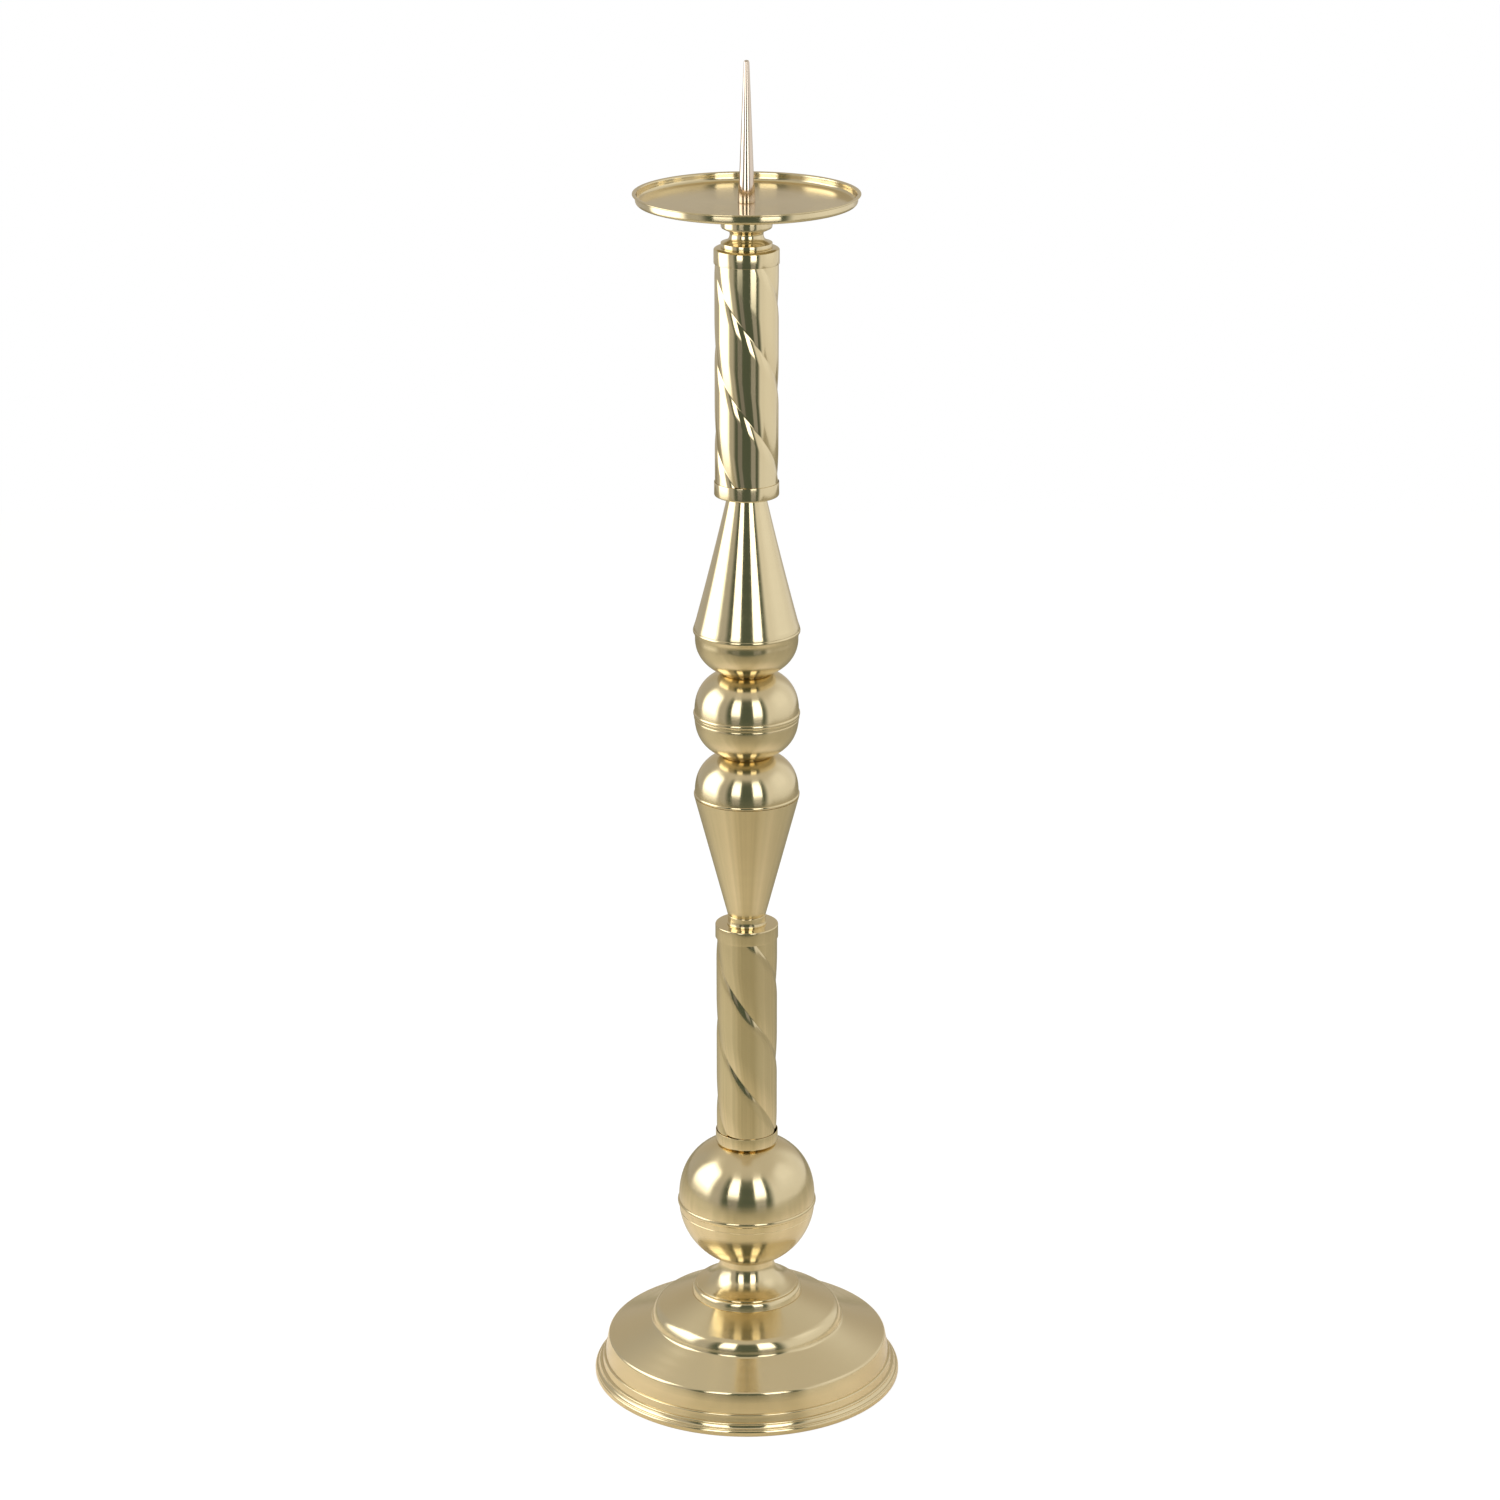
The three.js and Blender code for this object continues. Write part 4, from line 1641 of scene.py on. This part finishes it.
@dataclass
class SoftBox:
    """A glowing cloth panel of the studio, seen by the metal but not by the camera.

    Its fade is the share of its width and height over which the glow dies away.
    """

    name: str
    place: tuple[float, float, float]
    width: float
    height: float
    brightness: float
    fade: float

    def build(self) -> None:
        """Stand the panel up, facing the object."""
        alone()
        heading = Vector((-self.place[0], -self.place[1], 0))
        bpy.ops.mesh.primitive_plane_add(
            size=1.0, location=self.place, rotation=heading.to_track_quat("Z", "Y").to_euler()
        )
        panel = bpy.context.object
        panel.scale = (self.width, self.height, 1)
        bpy.ops.object.transform_apply(location=True, rotation=True, scale=True)
        panel.name = self.name
        panel.visible_camera = False
        panel.data.materials.append(self.cloth())
        log.info("panel %s", self.name)

    def cloth(self) -> bpy.types.Material:
        """Build the glow, which fades out towards the edges of the panel.

        Returns:
            The material.
        """
        material = bpy.data.materials.new(self.name)
        material.use_nodes = True
        material.node_tree.nodes.clear()
        bench = NodeBench(material.node_tree)
        spot = bench.add("SeparateXYZ", bench.add("TexCoord").outputs["UV"])
        sides = []
        for axis in ("X", "Y"):
            share = spot.outputs[axis]
            inset = bench.math("MINIMUM", share, bench.math("SUBTRACT", 1.0, share))
            sides.append(bench.ramp(inset, 0.0, self.fade / 2))
        shown = bench.math("MULTIPLY", *sides)
        clear = bench.add("BsdfTransparent")
        glow = bench.add("Emission", (*WHITE, 1.0), self.brightness)
        mix = bench.add("MixShader", shown, clear.outputs[0], glow.outputs[0])
        bench.add("OutputMaterial", mix.outputs[0])
        return material


# Name, place, width, height, brightness and fade of each panel; sizes are in metres.
PANELS = (
    SoftBox("left_soft_box", (-1.37, 0.0, 1.15), 1.5, 2.0, 2.9, 0.5),
    SoftBox("right_soft_box", (1.4, 0.0, 1.3), 1.9, 2.0, 1.0, 0.8),
    SoftBox("front_strip_left", (-0.73, -1.66, 1.53), 0.66, 1.8, 2.8, 0.12),
    SoftBox("front_strip_right", (0.75, -1.66, 1.5), 0.68, 1.86, 2.8, 0.12),
    SoftBox("front_skirt_left", (-0.73, -1.66, 0.33), 0.6, 0.66, 0.24, 0.3),
    SoftBox("front_skirt_right", (0.74, -1.66, 0.3), 0.62, 0.6, 0.36, 0.3),
)


@dataclass
class Studio:
    """White floor, light tent with an open front, glowing panels and the camera."""

    lens: float = 103.16
    sensor: float = 36.0
    camera_place: tuple[float, float, float] = (0.0029, -3.5966, 1.8027)
    camera_drop: float = 18.46
    floor_front: float = -1.3
    floor_back: float = 3.0
    floor_half_width: float = 2.4
    floor_drop: float = 0.0002
    floor_parts: int = 8
    floor_glow: float = 0.89
    floor_camera_tone: float = 0.2
    # Painted light and shade on the floor as the metal sees it: lighter near the base, darker
    # farther off.
    near_painted_light: Tint = (0.8, 0.725, 0.58)
    far_painted_shade: Tint = (0.48, 0.45, 0.34)
    painted_light_falloff: tuple[float, float] = (0.2, 0.8)
    # Painted light and shade in patches round the axis, which shift the floor between its near
    # and far tones.
    light_patch_scale: float = 7.0
    light_patch_detail: float = 2.0
    light_patch_edges: tuple[float, float] = (0.3, 0.7)
    light_patch_gain: float = 0.16
    # Painted light on the floor towards its left and right sides, as the metal sees it.
    side_light_edges: tuple[float, float] = (0.35, 0.95)
    side_painted_light: Tint = (1.35, 1.38, 1.55)
    tent_left: Tint = (0.52, 0.51, 0.49)
    tent_right: Tint = (0.86, 0.85, 0.83)
    tent_sides: tuple[float, float] = (-0.4, 0.4)
    tent_back: Tint = (0.53, 0.485, 0.405)
    back_edges: tuple[float, float] = (0.75, 0.95)
    tent_top: Tint = (0.65, 0.62, 0.56)
    top_edges: tuple[float, float] = (0.45, 0.85)
    tent_front: Tint = (0.095, 0.12, 0.095)
    front_edges: tuple[float, float] = (0.62, 0.78)
    front_top: tuple[float, float] = (0.7, 0.84)

    def build(self) -> None:
        """Set up the whole studio."""
        self.camera()
        self.floor()
        self.tent()
        for panel in PANELS:
            panel.build()

    def camera(self) -> None:
        """Stand the camera where the photograph was taken from."""
        alone()
        tilt = math.radians(90 - self.camera_drop)
        bpy.ops.object.camera_add(location=self.camera_place, rotation=(tilt, 0, 0))
        camera = bpy.context.object
        camera.name = "camera"
        camera.data.lens = self.lens
        camera.data.sensor_width = self.sensor
        bpy.context.scene.camera = camera
        bpy.context.scene.view_settings.view_transform = "Standard"

    def floor(self) -> None:
        """Lay the white floor, which keeps the shadow of the object; the metal sees painted light
        and shade on it.
        """
        alone()
        bpy.ops.mesh.primitive_grid_add(
            x_subdivisions=self.floor_parts, y_subdivisions=self.floor_parts, size=2.0
        )
        floor = bpy.context.object
        depth = self.floor_back - self.floor_front
        floor.scale = (self.floor_half_width, depth / 2, 1)
        floor.location = (0, (self.floor_back + self.floor_front) / 2, -self.floor_drop)
        bpy.ops.object.transform_apply(location=True, rotation=True, scale=True)
        floor.name = "floor"
        material = bpy.data.materials.new("white_floor")
        material.use_nodes = True
        material.node_tree.nodes.clear()
        bench = NodeBench(material.node_tree)
        shown = bench.add("BsdfDiffuse", (*[self.floor_camera_tone] * 3, 1))
        glow = bench.add("Emission", (*WHITE, 1.0), self.floor_glow)
        seen = bench.add("AddShader", shown.outputs[0], glow.outputs[0])
        # The metal sees the floor with painted light and shade; the camera sees it white with its
        # real shadow.
        lit = bench.add("BsdfDiffuse", self.painted_floor_light(bench))
        ray = bench.add("LightPath").outputs["Is Camera Ray"]
        mix = bench.add("MixShader", ray, lit.outputs[0], seen.outputs[0])
        bench.add("OutputMaterial", mix.outputs[0])
        floor.data.materials.append(material)

    def painted_floor_light(self, bench: NodeBench) -> Socket:
        """The floor's colour as the metal sees it, with painted light and shade: painted light
        near the base and towards the sides, painted shade farther off.

        Args:
            bench: The floor's tree.

        Returns:
            The colour's output.
        """
        place = bench.add("TexCoord").outputs["Object"]
        reach = bench.add("VectorMath", place, operation="LENGTH").outputs["Value"]
        bearing = bench.add("VectorMath", place, operation="NORMALIZE").outputs[0]
        # Painted light and shade in patches round the axis.
        noise = bench.noise(bearing, self.light_patch_scale, self.light_patch_detail)
        light_patches = bench.ramp(noise, *self.light_patch_edges, -self.light_patch_gain, self.light_patch_gain)
        # Painted light near the base, painted shade farther off.
        share = bench.math("ADD", bench.ramp(reach, *self.painted_light_falloff), light_patches)
        tone = bench.blend(share, self.near_painted_light, self.far_painted_shade)
        sideways = bench.math("ABSOLUTE", bench.add("SeparateXYZ", bearing).outputs["X"])
        # Painted light towards the left and right of the floor.
        gain = bench.blend(bench.ramp(sideways, *self.side_light_edges), WHITE, self.side_painted_light)
        return bench.add("VectorMath", tone, gain, operation="MULTIPLY").outputs[0]

    def tent(self) -> None:
        """Draw the light tent round the object: pale walls, bright top, open dark front."""
        world = bpy.data.worlds.new("light_tent")
        bpy.context.scene.world = world
        world.use_nodes = True
        world.node_tree.nodes.clear()
        bench = NodeBench(world.node_tree)
        heading = bench.add("TexCoord").outputs["Generated"]
        parts = bench.add("SeparateXYZ", heading).outputs
        flat = bench.add("CombineXYZ", parts["X"], parts["Y"], 0.0).outputs[0]
        level = bench.add("VectorMath", flat, operation="NORMALIZE").outputs[0]
        ahead = bench.add("SeparateXYZ", level).outputs["Y"]
        toward = bench.math("MULTIPLY", ahead, -1.0)
        side = bench.ramp(toward, *self.front_edges)
        under = bench.ramp(parts["Z"], *self.front_top, 1, 0)
        front = bench.math("MULTIPLY", side, under)
        sideways = bench.ramp(parts["X"], *self.tent_sides)
        back = bench.ramp(ahead, *self.back_edges)
        upward = bench.ramp(parts["Z"], *self.top_edges)
        walls = bench.blend(sideways, self.tent_left, self.tent_right)
        walls = bench.blend(back, walls, self.tent_back)
        walls = bench.blend(upward, walls, self.tent_top)
        whole = bench.blend(front, walls, self.tent_front)
        ray = bench.add("LightPath").outputs["Is Camera Ray"]
        seen = bench.blend(ray, whole, WHITE)
        background = bench.add("Background", seen, 1.0)
        bench.add("OutputWorld", background.outputs[0])


def main() -> None:
    """Build the candlestick from the floor up, then the studio round it."""
    logging.basicConfig(level=logging.INFO, format="%(name)s: %(message)s")
    shop = Workshop()
    assemblies = (
        Base(),
        LargeBall(),
        TwistedTube(
            prefix="lower",
            radius=27.2,
            sleeve=28.1,
            crease_level=288.88,
            foot_height=11.2,
            foot_edge=0.8,
            head_height=12.5,
            shoulder_width=1.0,
            shoulder_height=1.0,
        ),
        ConeAndDome(),
        MiddleBall(),
        BowlAndCone(),
        TwistedTube(
            prefix="upper",
            radius=27.5,
            sleeve=28.2,
            crease_level=908.2,
            foot_height=12.4,
            foot_edge=1.5,
            head_height=13.6,
            shoulder_width=4.0,
            shoulder_height=2.1,
        ),
        Neck(),
        DripPan(),
        Spike(),
    )
    for assembly in assemblies:
        assembly.build(shop)
        log.info("%s is complete", type(assembly).__name__)
    Studio().build()


if __name__ == "__main__":
    main()
